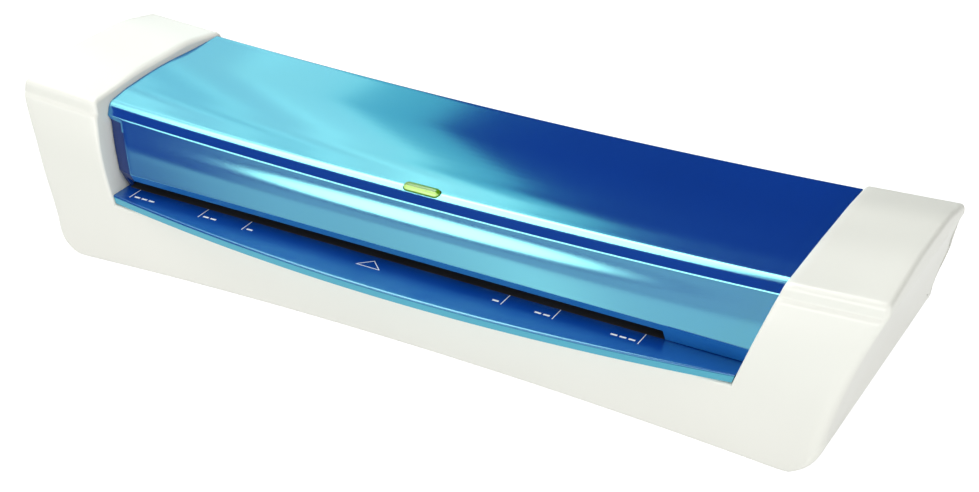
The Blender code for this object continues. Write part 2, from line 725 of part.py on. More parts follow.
def gear(name, teeth, axis, phase, bore, material):
    """Spur gear turning about X, with a round bore; its origin lies on its axis."""
    radius = pitch_radius(teeth)
    pitch = 2 * math.pi / teeth
    shape = [(-0.30, -1.15), (-0.20, 0.0), (-0.11, 0.8), (0.11, 0.8), (0.20, 0.0),
             (0.30, -1.15)]
    outline = []
    for tooth in range(teeth):
        for share, height in shape:
            angle = phase + (tooth + share) * pitch
            r = radius + height * MODULE
            outline.append((r * math.cos(angle), r * math.sin(angle)))
    wheel = side_plate(name, outline, 0.0, GEAR_X[1] - GEAR_X[0], material)
    wheel.location = (GEAR_X[0], *axis)
    hole = cylinder(name + "_bore_cutter", bore, (GEAR_X[0] - 5 * MM, *axis),
                    (GEAR_X[1] + 5 * MM, *axis), cutter=True)
    boolean(wheel, hole)
    return wheel


def build_gears():
    """Roller gears, idler and motor pinion in one plane, in mesh at rest."""
    idle_phase = mesh_phase(ROLLER_TEETH, 0.0, LOWER_AXIS, IDLER_TEETH, IDLER_AXIS)
    pinion_phase = mesh_phase(IDLER_TEETH, idle_phase, IDLER_AXIS, PINION_TEETH, MOTOR_AXIS)
    upper_phase = mesh_phase(ROLLER_TEETH, 0.0, LOWER_AXIS, ROLLER_TEETH, UPPER_AXIS)
    gear("lower_roller_gear", ROLLER_TEETH, LOWER_AXIS, 0.0, SHAFT_R + 0.3 * MM, NYLON)
    gear("upper_roller_gear", ROLLER_TEETH, UPPER_AXIS, upper_phase, SHAFT_R + 0.3 * MM, NYLON)
    gear("idler_gear", IDLER_TEETH, IDLER_AXIS, idle_phase, 2.3 * MM, NYLON)
    gear("motor_pinion", PINION_TEETH, MOTOR_AXIS, pinion_phase, 2.8 * MM, NYLON)
    cylinder("idler_pin", 2.0 * MM, (FRAME_RIGHT_X + FRAME_THICK + GAP, *IDLER_AXIS),
             (BRACKET_X - GAP, *IDLER_AXIS), STEEL, segments=16)
    cylinder("motor_shaft", 2.5 * MM, (GEAR_X[0] - 1 * MM, *MOTOR_AXIS),
             (MOTOR_X[0] - GAP, *MOTOR_AXIS), STEEL, segments=16)


def build_motor():
    """Geared synchronous motor on its bracket, with two spacers to the right frame."""
    motor = cylinder("drive_motor", MOTOR_R, (MOTOR_X[0], *MOTOR_AXIS),
                     (MOTOR_X[1], *MOTOR_AXIS), STEEL, segments=32)
    bevel(motor, 1.0 * MM)
    y, z = MOTOR_AXIS
    outline = [(y - 21 * MM, z - 22 * MM), (y + 12 * MM, z - 22 * MM),
               (y + 12 * MM, z + 14 * MM), (y + 2 * MM, z + 22 * MM),
               (y - 21 * MM, z + 22 * MM)]
    bracket = side_plate("motor_bracket", outline, BRACKET_X, BRACKET_X + BRACKET_THICK, STEEL)
    boolean(bracket, cylinder("shaft_hole_cutter", 3.4 * MM, (BRACKET_X - 5 * MM, y, z),
                              (BRACKET_X + 5 * MM, y, z), cutter=True))
    for name, dz in (("bracket_spacer_upper", 17 * MM), ("bracket_spacer_lower", -17 * MM)):
        spot = (y - 16 * MM, z + dz)
        cylinder(name, 3.0 * MM, (FRAME_RIGHT_X + FRAME_THICK + GAP, *spot),
                 (BRACKET_X - GAP, *spot), STEEL, segments=12)


def build_roller(name, axis):
    """One roller: a steel shaft in a silicone sleeve; origins lie on the axis."""
    cylinder(f"{name}_roller_shaft", SHAFT_R, (FRAME_LEFT_X - 2.6 * MM, *axis),
             (GEAR_X[1] + 0.6 * MM, *axis), STEEL)
    sleeve_start = SLOT_X[0] - 1.7 * MM
    length = SLOT_X[1] + 2.0 * MM - sleeve_start
    turned(f"{name}_roller_sleeve", ring_profile(SHAFT_R + 0.3 * MM, ROLLER_R, length),
           (sleeve_start, *axis), (1, 0, 0), SILICONE, steps=32)


def build_bush(name, x, outward, axis):
    """Flanged bronze bush in a side frame, flange outside."""
    inner = SHAFT_R + 0.3 * MM
    length = FRAME_THICK + 3.0 * MM
    profile = [(7.4 * MM, 1.2 * MM), (7.4 * MM, 0.0), (inner, 0.0), (inner, length),
               (BUSH_R, length), (BUSH_R, 1.2 * MM)]
    turned(name, profile, (x, *axis), (-outward, 0, 0), BRASS)


def build_frames():
    """Two folded steel side frames with bush holes, and the tie rods between them."""
    outline = [(-36 * MM, 7.6 * MM), (28 * MM, 7.6 * MM), (28 * MM, 46 * MM),
               (20 * MM, 59 * MM), (-26 * MM, 59 * MM), (-36 * MM, 50 * MM)]
    for name, x in (("left", FRAME_LEFT_X), ("right", FRAME_RIGHT_X)):
        frame = side_plate(f"frame_{name}", outline, x, x + FRAME_THICK, STEEL)
        foot = box(f"frame_foot_{name}_block", (x - 9 * MM, -32 * MM, 5.6 * MM),
                   (x + FRAME_THICK, 28 * MM, 7.7 * MM), cutter=True)
        boolean(frame, foot, "UNION")
        for i, axis in enumerate((LOWER_AXIS, UPPER_AXIS)):
            boolean(frame, cylinder(f"bush_hole_{name}_{i + 1}_cutter", BUSH_R + 0.35 * MM,
                                    (x - 5 * MM, *axis), (x + 8 * MM, *axis), cutter=True))
        for i, (sx, sy) in enumerate(SCREW_XY):
            if abs(sx - x) < 12 * MM:
                boolean(frame, cylinder(f"frame_screw_hole_{i + 1}_cutter", 1.75 * MM,
                                        (sx, sy, 3 * MM), (sx, sy, 12 * MM), cutter=True,
                                        segments=12))
    for name, y, z in (("tie_rod_front", -28, 51), ("tie_rod_rear", 23.5, 47)):
        cylinder(name, 2.6 * MM, (FRAME_LEFT_X + FRAME_THICK + GAP, y * MM, z * MM),
                 (FRAME_RIGHT_X - GAP, y * MM, z * MM), STEEL, segments=12)


def build_nip_spring(name, x):
    """Leaf spring that presses an upper bush down, tucked under the frame's top."""
    bm = bmesh.new()
    rows = []
    for i in range(9):
        s = i / 4.0 - 1.0
        y = ROLLER_Y + s * 13 * MM
        z = UPPER_AXIS[1] + BUSH_R + 0.9 * MM + 3.2 * MM * s * s
        rows.append([bm.verts.new((x + dx, y, z)) for dx in (0.0, 2.2 * MM)])
    for low, high in zip(rows, rows[1:]):
        bm.faces.new((low[0], low[1], high[1], high[0]))
    leaf = object_from_bmesh(name, bm, STEEL)
    shell = leaf.modifiers.new("shell", "SOLIDIFY")
    shell.thickness = 0.5 * MM


def build_rollers():
    """Both rollers with their bushes and nip springs."""
    for name, axis in (("lower", LOWER_AXIS), ("upper", UPPER_AXIS)):
        build_roller(name, axis)
        build_bush(f"{name}_bush_left", FRAME_LEFT_X - 1.2 * MM - GAP, -1, axis)
        build_bush(f"{name}_bush_right", FRAME_RIGHT_X + FRAME_THICK + 1.2 * MM + GAP, 1, axis)
    build_nip_spring("nip_spring_left", FRAME_LEFT_X + FRAME_THICK + 0.4 * MM)
    build_nip_spring("nip_spring_right", FRAME_RIGHT_X - 2.6 * MM)


# ---------------------------------------------------------------- heating and guides
def mirrored_about_nip(outline):
    """Reflect a (y, z) outline to the other side of the pouch path."""
    return [(y, 2 * NIP_Z - z) for y, z in reversed(outline)]


def build_heaters():
    """Aluminium heater plates above and below the pouch path, each with a mica heater."""
    x_low = SLOT_X[0] - 1.7 * MM
    x_high = SLOT_X[1] + 2.0 * MM
    top = TRAY_TOP - 0.2 * MM
    thick = PLATE_THICK
    lower = [(PLATE_Y[0] - 1.5 * MM, top - 4.5 * MM), (PLATE_Y[0] + thick, top - thick - 3 * MM),
             (PLATE_Y[0] + thick, top - thick), (PLATE_Y[1], top - thick), (PLATE_Y[1], top),
             (PLATE_Y[0], top)]
    side_plate("heater_plate_lower", lower, x_low, x_high, ALUMINIUM)
    side_plate("heater_plate_upper", mirrored_about_nip(lower), x_low, x_high, ALUMINIUM)
    sheet_top = top - thick - GAP
    sheet = [(PLATE_Y[0] + 3.5 * MM, sheet_top - HEATER_THICK),
             (PLATE_Y[1] - 1.0 * MM, sheet_top - HEATER_THICK),
             (PLATE_Y[1] - 1.0 * MM, sheet_top), (PLATE_Y[0] + 3.5 * MM, sheet_top)]
    side_plate("heater_lower", sheet, x_low + 6 * MM, x_high - 6 * MM, MICA)
    side_plate("heater_upper", mirrored_about_nip(sheet), x_low + 6 * MM, x_high - 6 * MM, MICA)
    on_top = 2 * NIP_Z - (sheet_top - HEATER_THICK - GAP)
    cylinder("thermostat", 7.5 * MM, (-40 * MM, -19 * MM, on_top),
             (-40 * MM, -19 * MM, on_top + 8 * MM), DARK)
    cylinder("thermal_fuse", 2.0 * MM, (10 * MM, -19 * MM, on_top + 2.4 * MM),
             (24 * MM, -19 * MM, on_top + 2.4 * MM), BRASS, segments=12)


def build_exit_guides():
    """Plastic guides from the rollers to the exit in the rear cover."""
    start = ROLLER_Y + ROLLER_R + 2.5 * MM
    low_end = 57.5 * MM
    high_end = 53.0 * MM
    thick = 1.8 * MM
    lower = [(start, NIP_Z - 1.6 * MM - thick), (low_end, EXIT_Z[0] - 0.2 * MM - thick),
             (low_end, EXIT_Z[0] - 0.2 * MM), (start, NIP_Z - 1.6 * MM)]
    upper = [(start, NIP_Z + 1.7 * MM), (high_end, EXIT_Z[1] + 0.2 * MM),
             (high_end, EXIT_Z[1] + 0.2 * MM + thick), (start, NIP_Z + 1.7 * MM + thick)]
    side_plate("exit_guide_lower", lower, SLOT_X[0], SLOT_X[1], GREY)
    side_plate("exit_guide_upper", upper, SLOT_X[0], SLOT_X[1], GREY)


# ---------------------------------------------------------------- electrics
def build_electrics():
    """Control board in the right cap, mains terminal block and the cable gland."""
    back = BOARD_X + BOARD_THICK
    face = back + GAP
    box("control_board", (BOARD_X, -34 * MM, 12 * MM), (back, 28 * MM, 54 * MM), BOARD)
    box("mains_transformer", (face, -8 * MM, 16 * MM), (face + 12 * MM, 14 * MM, 38 * MM), DARK)
    cylinder("board_capacitor", 5 * MM, (face, -22 * MM, 26 * MM),
             (face + 12 * MM, -22 * MM, 26 * MM), DARK)
    box("terminal_block", (128 * MM, 30 * MM, 5.7 * MM), (133 * MM, 46 * MM, 15 * MM), GREY)
    x, z = GLAND_XZ
    profile = [(5.6 * MM, 7.2 * MM), (6.6 * MM, 3.4 * MM), (4.2 * MM, 3.4 * MM),
               (4.2 * MM, 0.0), (2.9 * MM, 0.0), (2.9 * MM, 7.2 * MM)]
    turned("cable_gland", profile, (x, REAR_FACE_Y - 3.0 * MM, z), (0, 1, 0), RUBBER)


def main():
    """Build every piece."""
    build_housing()
    build_rear_cover()
    build_base()
    build_feet()
    build_screws()
    build_cover()
    build_tray()
    build_button()
    build_frames()
    build_rollers()
    build_gears()
    build_motor()
    build_heaters()
    build_exit_guides()
    build_electrics()


main()
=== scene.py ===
import logging
import math
from dataclasses import dataclass, field
from enum import Enum
from typing import Iterable, NamedTuple, Sequence

import bmesh
import bpy
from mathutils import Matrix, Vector


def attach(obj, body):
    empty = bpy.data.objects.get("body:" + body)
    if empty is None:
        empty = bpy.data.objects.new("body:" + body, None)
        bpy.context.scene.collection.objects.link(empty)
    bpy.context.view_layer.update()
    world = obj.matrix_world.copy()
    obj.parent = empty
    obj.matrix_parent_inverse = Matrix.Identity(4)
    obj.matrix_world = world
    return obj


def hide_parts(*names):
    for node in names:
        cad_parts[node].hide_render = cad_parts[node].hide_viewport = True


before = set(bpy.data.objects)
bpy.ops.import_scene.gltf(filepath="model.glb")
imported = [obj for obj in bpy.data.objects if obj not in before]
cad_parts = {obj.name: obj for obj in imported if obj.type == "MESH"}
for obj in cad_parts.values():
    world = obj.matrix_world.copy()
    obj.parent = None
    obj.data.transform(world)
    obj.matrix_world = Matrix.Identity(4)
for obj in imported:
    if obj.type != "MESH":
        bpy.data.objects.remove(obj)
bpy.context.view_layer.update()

MM = 0.001
LOG = logging.getLogger("pouch_laminator")


class Body(Enum):
    """CAD bodies that the pieces ride on."""

    CHASSIS = "chassis"
    BUTTON = "button"


# ------------------------------------------------------------------ outlines and meshes
class Corner(NamedTuple):
    """One corner of a side outline, in millimetres, with its rounding."""

    y: float
    z: float
    radius: float = 0.0
    steps: int = 1


class PathPoint(NamedTuple):
    """A point of a rounded outline with its outward normal in the YZ plane."""

    y: float
    z: float
    ny: float
    nz: float


def ease(value: float, start: float, end: float) -> float:
    """Step smoothly from 0 to 1.

    Args:
        value: Where to read the step.
        start: Value at which the step leaves 0.
        end: Value at which it reaches 1.

    Returns:
        The step's height, from 0 to 1.
    """
    share = min(max((value - start) / (end - start), 0.0), 1.0)
    return share * share * (3.0 - 2.0 * share)


def fillet(before: Vector, here: Vector, after: Vector, corner: Corner) -> list[PathPoint]:
    """Round one corner of a clockwise outline.

    Args:
        before: Previous corner.
        here: The corner itself.
        after: Next corner.
        corner: Its radius and step count.

    Returns:
        The points of the arc.
    """
    d0 = (here - before).normalized()
    d1 = (after - here).normalized()
    turn = d0.angle_signed(d1, 0.0)
    side = 1.0 if turn > 0 else -1.0
    n0 = Vector((-d0.y, d0.x))
    centre = here - d0 * corner.radius * math.tan(abs(turn) / 2) - n0 * side * corner.radius
    points = []
    for step in range(corner.steps + 1):
        angle = -turn * step / max(corner.steps, 1)
        c, s = math.cos(angle), math.sin(angle)
        normal = Vector((n0.x * c - n0.y * s, n0.x * s + n0.y * c))
        spot = centre + normal * side * corner.radius
        points.append(PathPoint(spot.x, spot.y, normal.x, normal.y))
    return points


def rounded_path(corners: Sequence[Corner], max_step: float) -> list[PathPoint]:
    """Round an open outline and divide its long straight runs.

    Args:
        corners: Corners in clockwise order; the first and last stay sharp.
        max_step: Longest distance between two points.

    Returns:
        Points along the outline with outward normals.
    """
    spots = [Vector((c.y, c.z)) for c in corners]
    raw: list[PathPoint] = []
    for i, corner in enumerate(corners):
        if i in (0, len(corners) - 1):
            along = (spots[1] - spots[0]) if i == 0 else (spots[-1] - spots[-2])
            along.normalize()
            raw.append(PathPoint(corner.y, corner.z, -along.y, along.x))
        else:
            raw += fillet(spots[i - 1], spots[i], spots[i + 1], corner)
    dense = [raw[0]]
    for a, b in zip(raw, raw[1:]):
        length = math.hypot(b.y - a.y, b.z - a.z)
        parts = max(1, math.ceil(length / max_step))
        for k in range(1, parts + 1):
            s = k / parts
            dense.append(PathPoint(*(p + (q - p) * s for p, q in zip(a, b))))
    return dense


class Sheet:
    """Collects vertices in millimetres and faces, and turns them into an object."""

    def __init__(self) -> None:
        """Start empty."""
        self.verts: list[tuple[float, float, float]] = []
        self.faces: list[tuple[int, ...]] = []

    def row(self, points: Iterable[Sequence[float]]) -> list[int]:
        """Add a row of points.

        Args:
            points: (x, y, z) triples in millimetres.

        Returns:
            The indices of the new vertices.
        """
        start = len(self.verts)
        self.verts += [tuple(p) for p in points]
        return list(range(start, len(self.verts)))

    def strip(self, low: Sequence[int], high: Sequence[int], skip: Sequence[bool] = (),
              closed: bool = False) -> None:
        """Join two rows with quads.

        Args:
            low: First row.
            high: Second row, of the same length.
            skip: True for each gap of the rows that stays open.
            closed: Whether the rows are rings.
        """
        count = len(low)
        for i in range(count if closed else count - 1):
            if i < len(skip) and skip[i]:
                continue
            j = (i + 1) % count
            quad = (low[i], low[j], high[j], high[i])
            if len(set(quad)) > 2:
                self.faces.append(tuple(dict.fromkeys(quad)))

    def loft(self, rows: Sequence[Sequence[int]], skip: Sequence[bool] = (),
             closed: bool = False) -> None:
        """Join each row to the next.

        Args:
            rows: Rows of the same length.
            skip: True for each gap of the rows that stays open.
            closed: Whether the rows are rings.
        """
        for low, high in zip(rows, rows[1:]):
            self.strip(low, high, skip, closed)

    def cap(self, first: Sequence[int], last: Sequence[int]) -> None:
        """Close the two end rings of a body."""
        self.faces += [tuple(first), tuple(reversed(last))]

    def fan(self, ring: Sequence[int], hub: int) -> None:
        """Close a ring to one point."""
        for i, vertex in enumerate(ring):
            self.faces.append((vertex, ring[(i + 1) % len(ring)], hub))

    def to_object(self, name: str, towards: Vector | None = None) -> bpy.types.Object:
        """Make the object.

        Args:
            name: Name of the piece.
            towards: A direction that the first face has to look in, for an open sheet.

        Returns:
            The new object, shaded smooth up to 35 degrees.
        """
        mesh = bpy.data.meshes.new(name)
        mesh.from_pydata([tuple(c * MM for c in v) for v in self.verts], [], self.faces)
        bm = bmesh.new()
        bm.from_mesh(mesh)
        bmesh.ops.remove_doubles(bm, verts=bm.verts, dist=0.002 * MM)
        bmesh.ops.recalc_face_normals(bm, faces=bm.faces)
        bm.faces.ensure_lookup_table()
        if towards is not None:
            bm.normal_update()
            total = sum(f.calc_area() * f.normal.dot(towards) for f in bm.faces)
            if total < 0:
                bmesh.ops.reverse_faces(bm, faces=bm.faces)
        bm.to_mesh(mesh)
        bm.free()
        return finish_mesh(name, mesh)


def finish_mesh(name: str, mesh: bpy.types.Mesh, angle: float = 35.0) -> bpy.types.Object:
    """Link a mesh as a smooth-shaded object.

    Args:
        name: Name of the piece.
        mesh: Its mesh.
        angle: Edges sharper than this stay sharp, in degrees.

    Returns:
        The linked object.
    """
    mesh.shade_smooth()
    mesh.set_sharp_from_angle(angle=math.radians(angle))
    obj = bpy.data.objects.new(name, mesh)
    bpy.context.scene.collection.objects.link(obj)
    return obj


def thicken(obj: bpy.types.Object, thickness: float) -> None:
    """Give a sheet its wall, inwards from its outer face.

    Args:
        obj: The sheet.
        thickness: Wall in millimetres.
    """
    shell = obj.modifiers.new("wall", "SOLIDIFY")
    shell.thickness = thickness * MM
    shell.offset = -1.0
    shell.use_even_offset = False


def subtract(obj: bpy.types.Object, cutter: bpy.types.Object) -> None:
    """Cut one object by another for good, and remove the cutter.

    Args:
        obj: The piece that is cut.
        cutter: The tool, which disappears.
    """
    modifier = obj.modifiers.new("cut", "BOOLEAN")
    modifier.operation = "DIFFERENCE"
    modifier.solver = "EXACT"
    modifier.object = cutter
    graph = bpy.context.evaluated_depsgraph_get()
    mesh = bpy.data.meshes.new_from_object(obj.evaluated_get(graph))
    obj.modifiers.clear()
    obj.data = mesh
    mesh.set_sharp_from_angle(angle=math.radians(35.0))
    bpy.data.objects.remove(cutter)


def capsule(length: float, radius: float, steps: int = 10) -> list[tuple[float, float]]:
    """Outline with round ends along its first axis.

    Args:
        length: Overall length.
        radius: Radius of the ends.
        steps: Segments in each end.

    Returns:
        Points in order.
    """
    half = length / 2 - radius
    points = []
    for side, first in ((1.0, -90.0), (-1.0, 90.0)):
        for i in range(steps + 1):
            a = math.radians(first + 180.0 * i / steps)
            points.append((side * half + radius * math.cos(a), radius * math.sin(a)))
    return points


def lathe(name: str, profile: Sequence[tuple[float, float]], centre: Vector, along: Vector,
          steps: int = 48) -> bpy.types.Object:
    """Turn a profile about an axis.

    Args:
        name: Name of the piece.
        profile: (radius, height) points in millimetres, from one end to the other.
        centre: Where height 0 lies on the axis, in millimetres.
        along: Direction of the axis.
        steps: Facets round the axis.

    Returns:
        The turned object.
    """
    axis = along.normalized()
    side = axis.orthogonal().normalized()
    other = axis.cross(side)
    sheet = Sheet()
    rows = []
    for i in range(steps):
        a = 2 * math.pi * i / steps
        out = side * math.cos(a) + other * math.sin(a)
        rows.append(sheet.row([centre + axis * h + out * r for r, h in profile]))
    for i, row in enumerate(rows):
        sheet.strip(row, rows[(i + 1) % steps])
    return sheet.to_object(name)


# ------------------------------------------------------------------ form of the casing
@dataclass(frozen=True)
class CasingForm:
    """Shape rules shared by every outer piece, in millimetres.

    The ends lean out and round under, the top dips between the caps, and the apron's lower
    edge arches.
    """

    half_x: float = 177.5
    bottom: float = 2.8
    front: float = -57.5
    knee_z: float = 17.1
    knee_x: float = 162.6
    bottom_half_x: float = 147.0
    apron_arch: float = 4.8
    cap_inner_x: float = 142.0
    top_sag: float = 3.2
    cap_drop: float = 1.7
    cap_arch_drop: float = 2.0
    tray_top: float = 35.1
    tray_half_x: float = 130.8
    wall_slope: float = 0.32653
    apron_top: float = 31.25

    def end_x(self, z: float) -> float:
        """Half width of the casing.

        Args:
            z: Height.

        Returns:
            The half width at that height.
        """
        rise = z - self.knee_z
        if rise >= 0:
            return min(self.knee_x + 0.18 * rise + 0.0024 * rise * rise, self.half_x)
        drop = min(-rise / (self.knee_z - self.bottom), 1.0)
        return self.bottom_half_x + (self.knee_x - self.bottom_half_x) * math.sqrt(
            1.0 - drop * drop)

    def wall_x(self, z: float) -> float:
        """Half distance between the caps' inner walls at height z."""
        return self.tray_half_x + self.wall_slope * (z - self.tray_top)

    def bend(self, x: float, y: float, z: float) -> float:
        """Height change of a point of the side outline at a place along the length.

        Args:
            x: Place along the length.
            y: Place across the depth.
            z: Height in the side outline.

        Returns:
            The change of height.
        """
        x = abs(x)
        arch = max(1.0 - ((y + 8.0) / 40.0) ** 2, 0.0)
        inwards = min(max((176.0 - x) / (176.0 - self.cap_inner_x), 0.0), 1.0)
        sag = self.top_sag * max(1.0 - (x / self.cap_inner_x) ** 2, 0.0)
        drop = (self.cap_drop + self.cap_arch_drop * arch) * inwards + sag
        lift = self.apron_arch * max(1.0 - (x / self.bottom_half_x) ** 2, 0.0)
        near_front = 1.0 - ease(y, self.front + 2.0, self.front + 15.0)
        near_bottom = 1.0 - ease(z, self.bottom + 1.0, 26.0)
        return lift * near_front * near_bottom - drop * ease(z, 48.0, 66.0)

    def place(self, x: float, y: float, z: float) -> tuple[float, float, float]:
        """Bend a point of the side outline into its place."""
        return (x, y, z + self.bend(x, y, z))


FORM = CasingForm()


# ------------------------------------------------------------------ shader groups
class NodeBench:
    """Adds and links the nodes of one tree."""

    tree: bpy.types.NodeTree

    def add(self, kind: str, **settings: object) -> bpy.types.Node:
        """Add a node and set its properties.

        Args:
            kind: Blender's name of the node type.
            **settings: Properties of the node.

        Returns:
            The node.
        """
        node = self.tree.nodes.new(kind)
        for key, value in settings.items():
            setattr(node, key, value)
        return node

    def link(self, source: bpy.types.NodeSocket, target: bpy.types.NodeSocket) -> None:
        """Link two sockets."""
        self.tree.links.new(source, target)


class GroupBuilder(NodeBench):
    """Builds one shader node group whose inputs and outputs are all numbers."""

    def __init__(self, name: str, inputs: dict[str, float], outputs: Sequence[str]) -> None:
        """Create the group and its interface.

        Args:
            name: Name of the group.
            inputs: Default of each input.
            outputs: Names of the outputs.
        """
        self.tree = bpy.data.node_groups.new(name, "ShaderNodeTree")
        for label, default in inputs.items():
            self.socket(label, "INPUT").default_value = default
        for label in outputs:
            self.socket(label, "OUTPUT")
        self.start = self.tree.nodes.new("NodeGroupInput")
        self.end = self.tree.nodes.new("NodeGroupOutput")

    def socket(self, label: str, way: str) -> bpy.types.NodeTreeInterfaceSocket:
        """Add a number to the group's interface."""
        return self.tree.interface.new_socket(label, in_out=way, socket_type="NodeSocketFloat")

    def math(self, operation: str, a: object, b: object = 0.0) -> bpy.types.NodeSocket:
        """Add a math node.

        Args:
            operation: Blender's name of the operation.
            a: First number or socket.
            b: Second number or socket.

        Returns:
            The result's socket.
        """
        node = self.add("ShaderNodeMath", operation=operation)
        for socket, value in zip(node.inputs, (a, b)):
            if isinstance(value, bpy.types.NodeSocket):
                self.link(value, socket)
            else:
                socket.default_value = value
        return node.outputs[0]

    def noise(self, scale: object, detail: float = 4.0,
              stretch: tuple[float, float, float] = (1.0, 1.0, 1.0)) -> bpy.types.NodeSocket:
        """Add noise in object coordinates.

        Args:
            scale: Number or socket.
            detail: Octaves.
            stretch: Scale of each axis.

        Returns:
            The noise's value.
        """
        coords = self.add("ShaderNodeTexCoord")
        mapping = self.add("ShaderNodeMapping")
        mapping.inputs["Scale"].default_value = stretch
        self.link(coords.outputs["Object"], mapping.inputs["Vector"])
        texture = self.add("ShaderNodeTexNoise")
        texture.inputs["Detail"].default_value = detail
        self.link(mapping.outputs["Vector"], texture.inputs["Vector"])
        if isinstance(scale, bpy.types.NodeSocket):
            self.link(scale, texture.inputs["Scale"])
        else:
            texture.inputs["Scale"].default_value = scale
        return texture.outputs["Fac"]


def moulded_skin_group() -> bpy.types.NodeTree:
    """Height and tint of a moulded surface: a fine skin over a slow unevenness.

    Returns:
        The group, with Height, Tint and Haze outputs.
    """
    g = GroupBuilder("moulded_skin", {"Grain Scale": 2500.0, "Grain": 0.3, "Wave": 0.3},
                     ("Height", "Tint", "Haze"))
    fine = g.noise(g.start.outputs["Grain Scale"], 2.0)
    slow = g.noise(18.0, 2.0)
    blotch = g.noise(60.0, 5.0)
    height = g.math("ADD", g.math("MULTIPLY", fine, g.start.outputs["Grain"]),
                    g.math("MULTIPLY", slow, g.start.outputs["Wave"]))
    g.link(height, g.end.inputs["Height"])
    g.link(slow, g.end.inputs["Tint"])
    g.link(blotch, g.end.inputs["Haze"])
    return g.tree


def edge_wear_group() -> bpy.types.NodeTree:
    """Mask of the rubbed outer edges, broken up by noise.

    Returns:
        The group, with an Amount input and a Mask output.
    """
    g = GroupBuilder("edge_wear", {"Amount": 0.5}, ("Mask",))
    geometry = g.add("ShaderNodeNewGeometry")
    ramp = g.add("ShaderNodeMapRange")
    ramp.inputs["From Min"].default_value = 0.52
    ramp.inputs["From Max"].default_value = 0.62
    g.link(geometry.outputs["Pointiness"], ramp.inputs["Value"])
    broken = g.math("MULTIPLY", ramp.outputs["Result"], g.noise(220.0, 6.0))
    g.link(g.math("MULTIPLY", broken, g.start.outputs["Amount"]), g.end.inputs["Mask"])
    return g.tree


def brushed_group() -> bpy.types.NodeTree:
    """Fine lines of rolled or drawn metal along X.

    Returns:
        The group, with Lines and Patch outputs.
    """
    g = GroupBuilder("drawn_lines", {"Line Scale": 900.0}, ("Lines", "Patch"))
    g.link(g.noise(g.start.outputs["Line Scale"], 3.0, (0.02, 1.0, 1.0)),
           g.end.inputs["Lines"])
    g.link(g.noise(40.0, 4.0), g.end.inputs["Patch"])
    return g.tree


class Groups:
    """The node groups, each built once."""

    def __init__(self) -> None:
        """Build every group."""
        self.skin = moulded_skin_group()
        self.wear = edge_wear_group()
        self.lines = brushed_group()


Colour = tuple[float, float, float]
NOISE_SPAN = (0.3, 0.7)


class MaterialKit(NodeBench):
    """A material under construction, with its Principled shader."""

    def __init__(self, name: str) -> None:
        """Create the material.

        Args:
            name: Name of the material.
        """
        self.material = bpy.data.materials.new(name)
        self.material.use_nodes = True
        self.tree = self.material.node_tree
        self.shader = self.tree.nodes["Principled BSDF"]

    def group(self, tree: bpy.types.NodeTree, **values: float) -> bpy.types.Node:
        """Place a node group with its own values.

        Args:
            tree: The group.
            **values: Input values, with underscores for spaces.

        Returns:
            The group node.
        """
        node = self.add("ShaderNodeGroup", node_tree=tree)
        for label, value in values.items():
            node.inputs[label.replace("_", " ")].default_value = value
        return node

    def mix(self, mask: bpy.types.NodeSocket, low: Colour, high: Colour,
            span: tuple[float, float] = NOISE_SPAN) -> bpy.types.NodeSocket:
        """Blend two colours by a mask.

        Args:
            mask: Value to read.
            low: Colour at the span's start.
            high: Colour at its end.
            span: Mask values of the two colours.

        Returns:
            The colour socket.
        """
        ramp = self.add("ShaderNodeValToRGB")
        for element, position, colour in zip(ramp.color_ramp.elements, span, (low, high)):
            element.position = position
            element.color = (*colour, 1.0)
        self.link(mask, ramp.inputs["Fac"])
        return ramp.outputs["Color"]

    def over(self, mask: bpy.types.NodeSocket, under: bpy.types.NodeSocket,
             top: Colour) -> bpy.types.NodeSocket:
        """Lay one colour over another where a mask is high.

        Args:
            mask: How much of the top colour shows.
            under: The colour below.
            top: The colour above.

        Returns:
            The colour socket.
        """
        node = self.add("ShaderNodeMix", data_type="RGBA")
        node.inputs["B"].default_value = (*top, 1.0)
        self.link(mask, node.inputs["Factor"])
        self.link(under, node.inputs["A"])
        return node.outputs["Result"]

    def remap(self, value: bpy.types.NodeSocket, ends: tuple[float, float],
              results: tuple[float, float] = (0.0, 1.0)) -> bpy.types.NodeSocket:
        """Map a range of values to another.

        Args:
            value: Value to read.
            ends: Where the range starts and ends.
            results: What its ends become.

        Returns:
            The mapped value.
        """
        node = self.add("ShaderNodeMapRange")
        for label, number in zip(("From Min", "From Max", "To Min", "To Max"),
                                 (*ends, *results)):
            node.inputs[label].default_value = number
        self.link(value, node.inputs["Value"])
        return node.outputs["Result"]

    def bump(self, height: bpy.types.NodeSocket, distance: float) -> None:
        """Feed the shader's normal from a height.

        Args:
            height: Height to read.
            distance: Relief in metres.
        """
        node = self.add("ShaderNodeBump")
        node.inputs["Distance"].default_value = distance
        node.inputs["Strength"].default_value = 1.0
        self.link(height, node.inputs["Height"])
        self.feed("Normal", node.outputs["Normal"])

    def feed(self, socket: str, source: bpy.types.NodeSocket) -> None:
        """Link a source to one of the shader's sockets."""
        self.link(source, self.shader.inputs[socket])

    def settle(self, **values: object) -> None:
        """Set constants on the shader's own sockets, with underscores for spaces."""
        for label, value in values.items():
            self.shader.inputs[label.replace("_", " ")].default_value = value


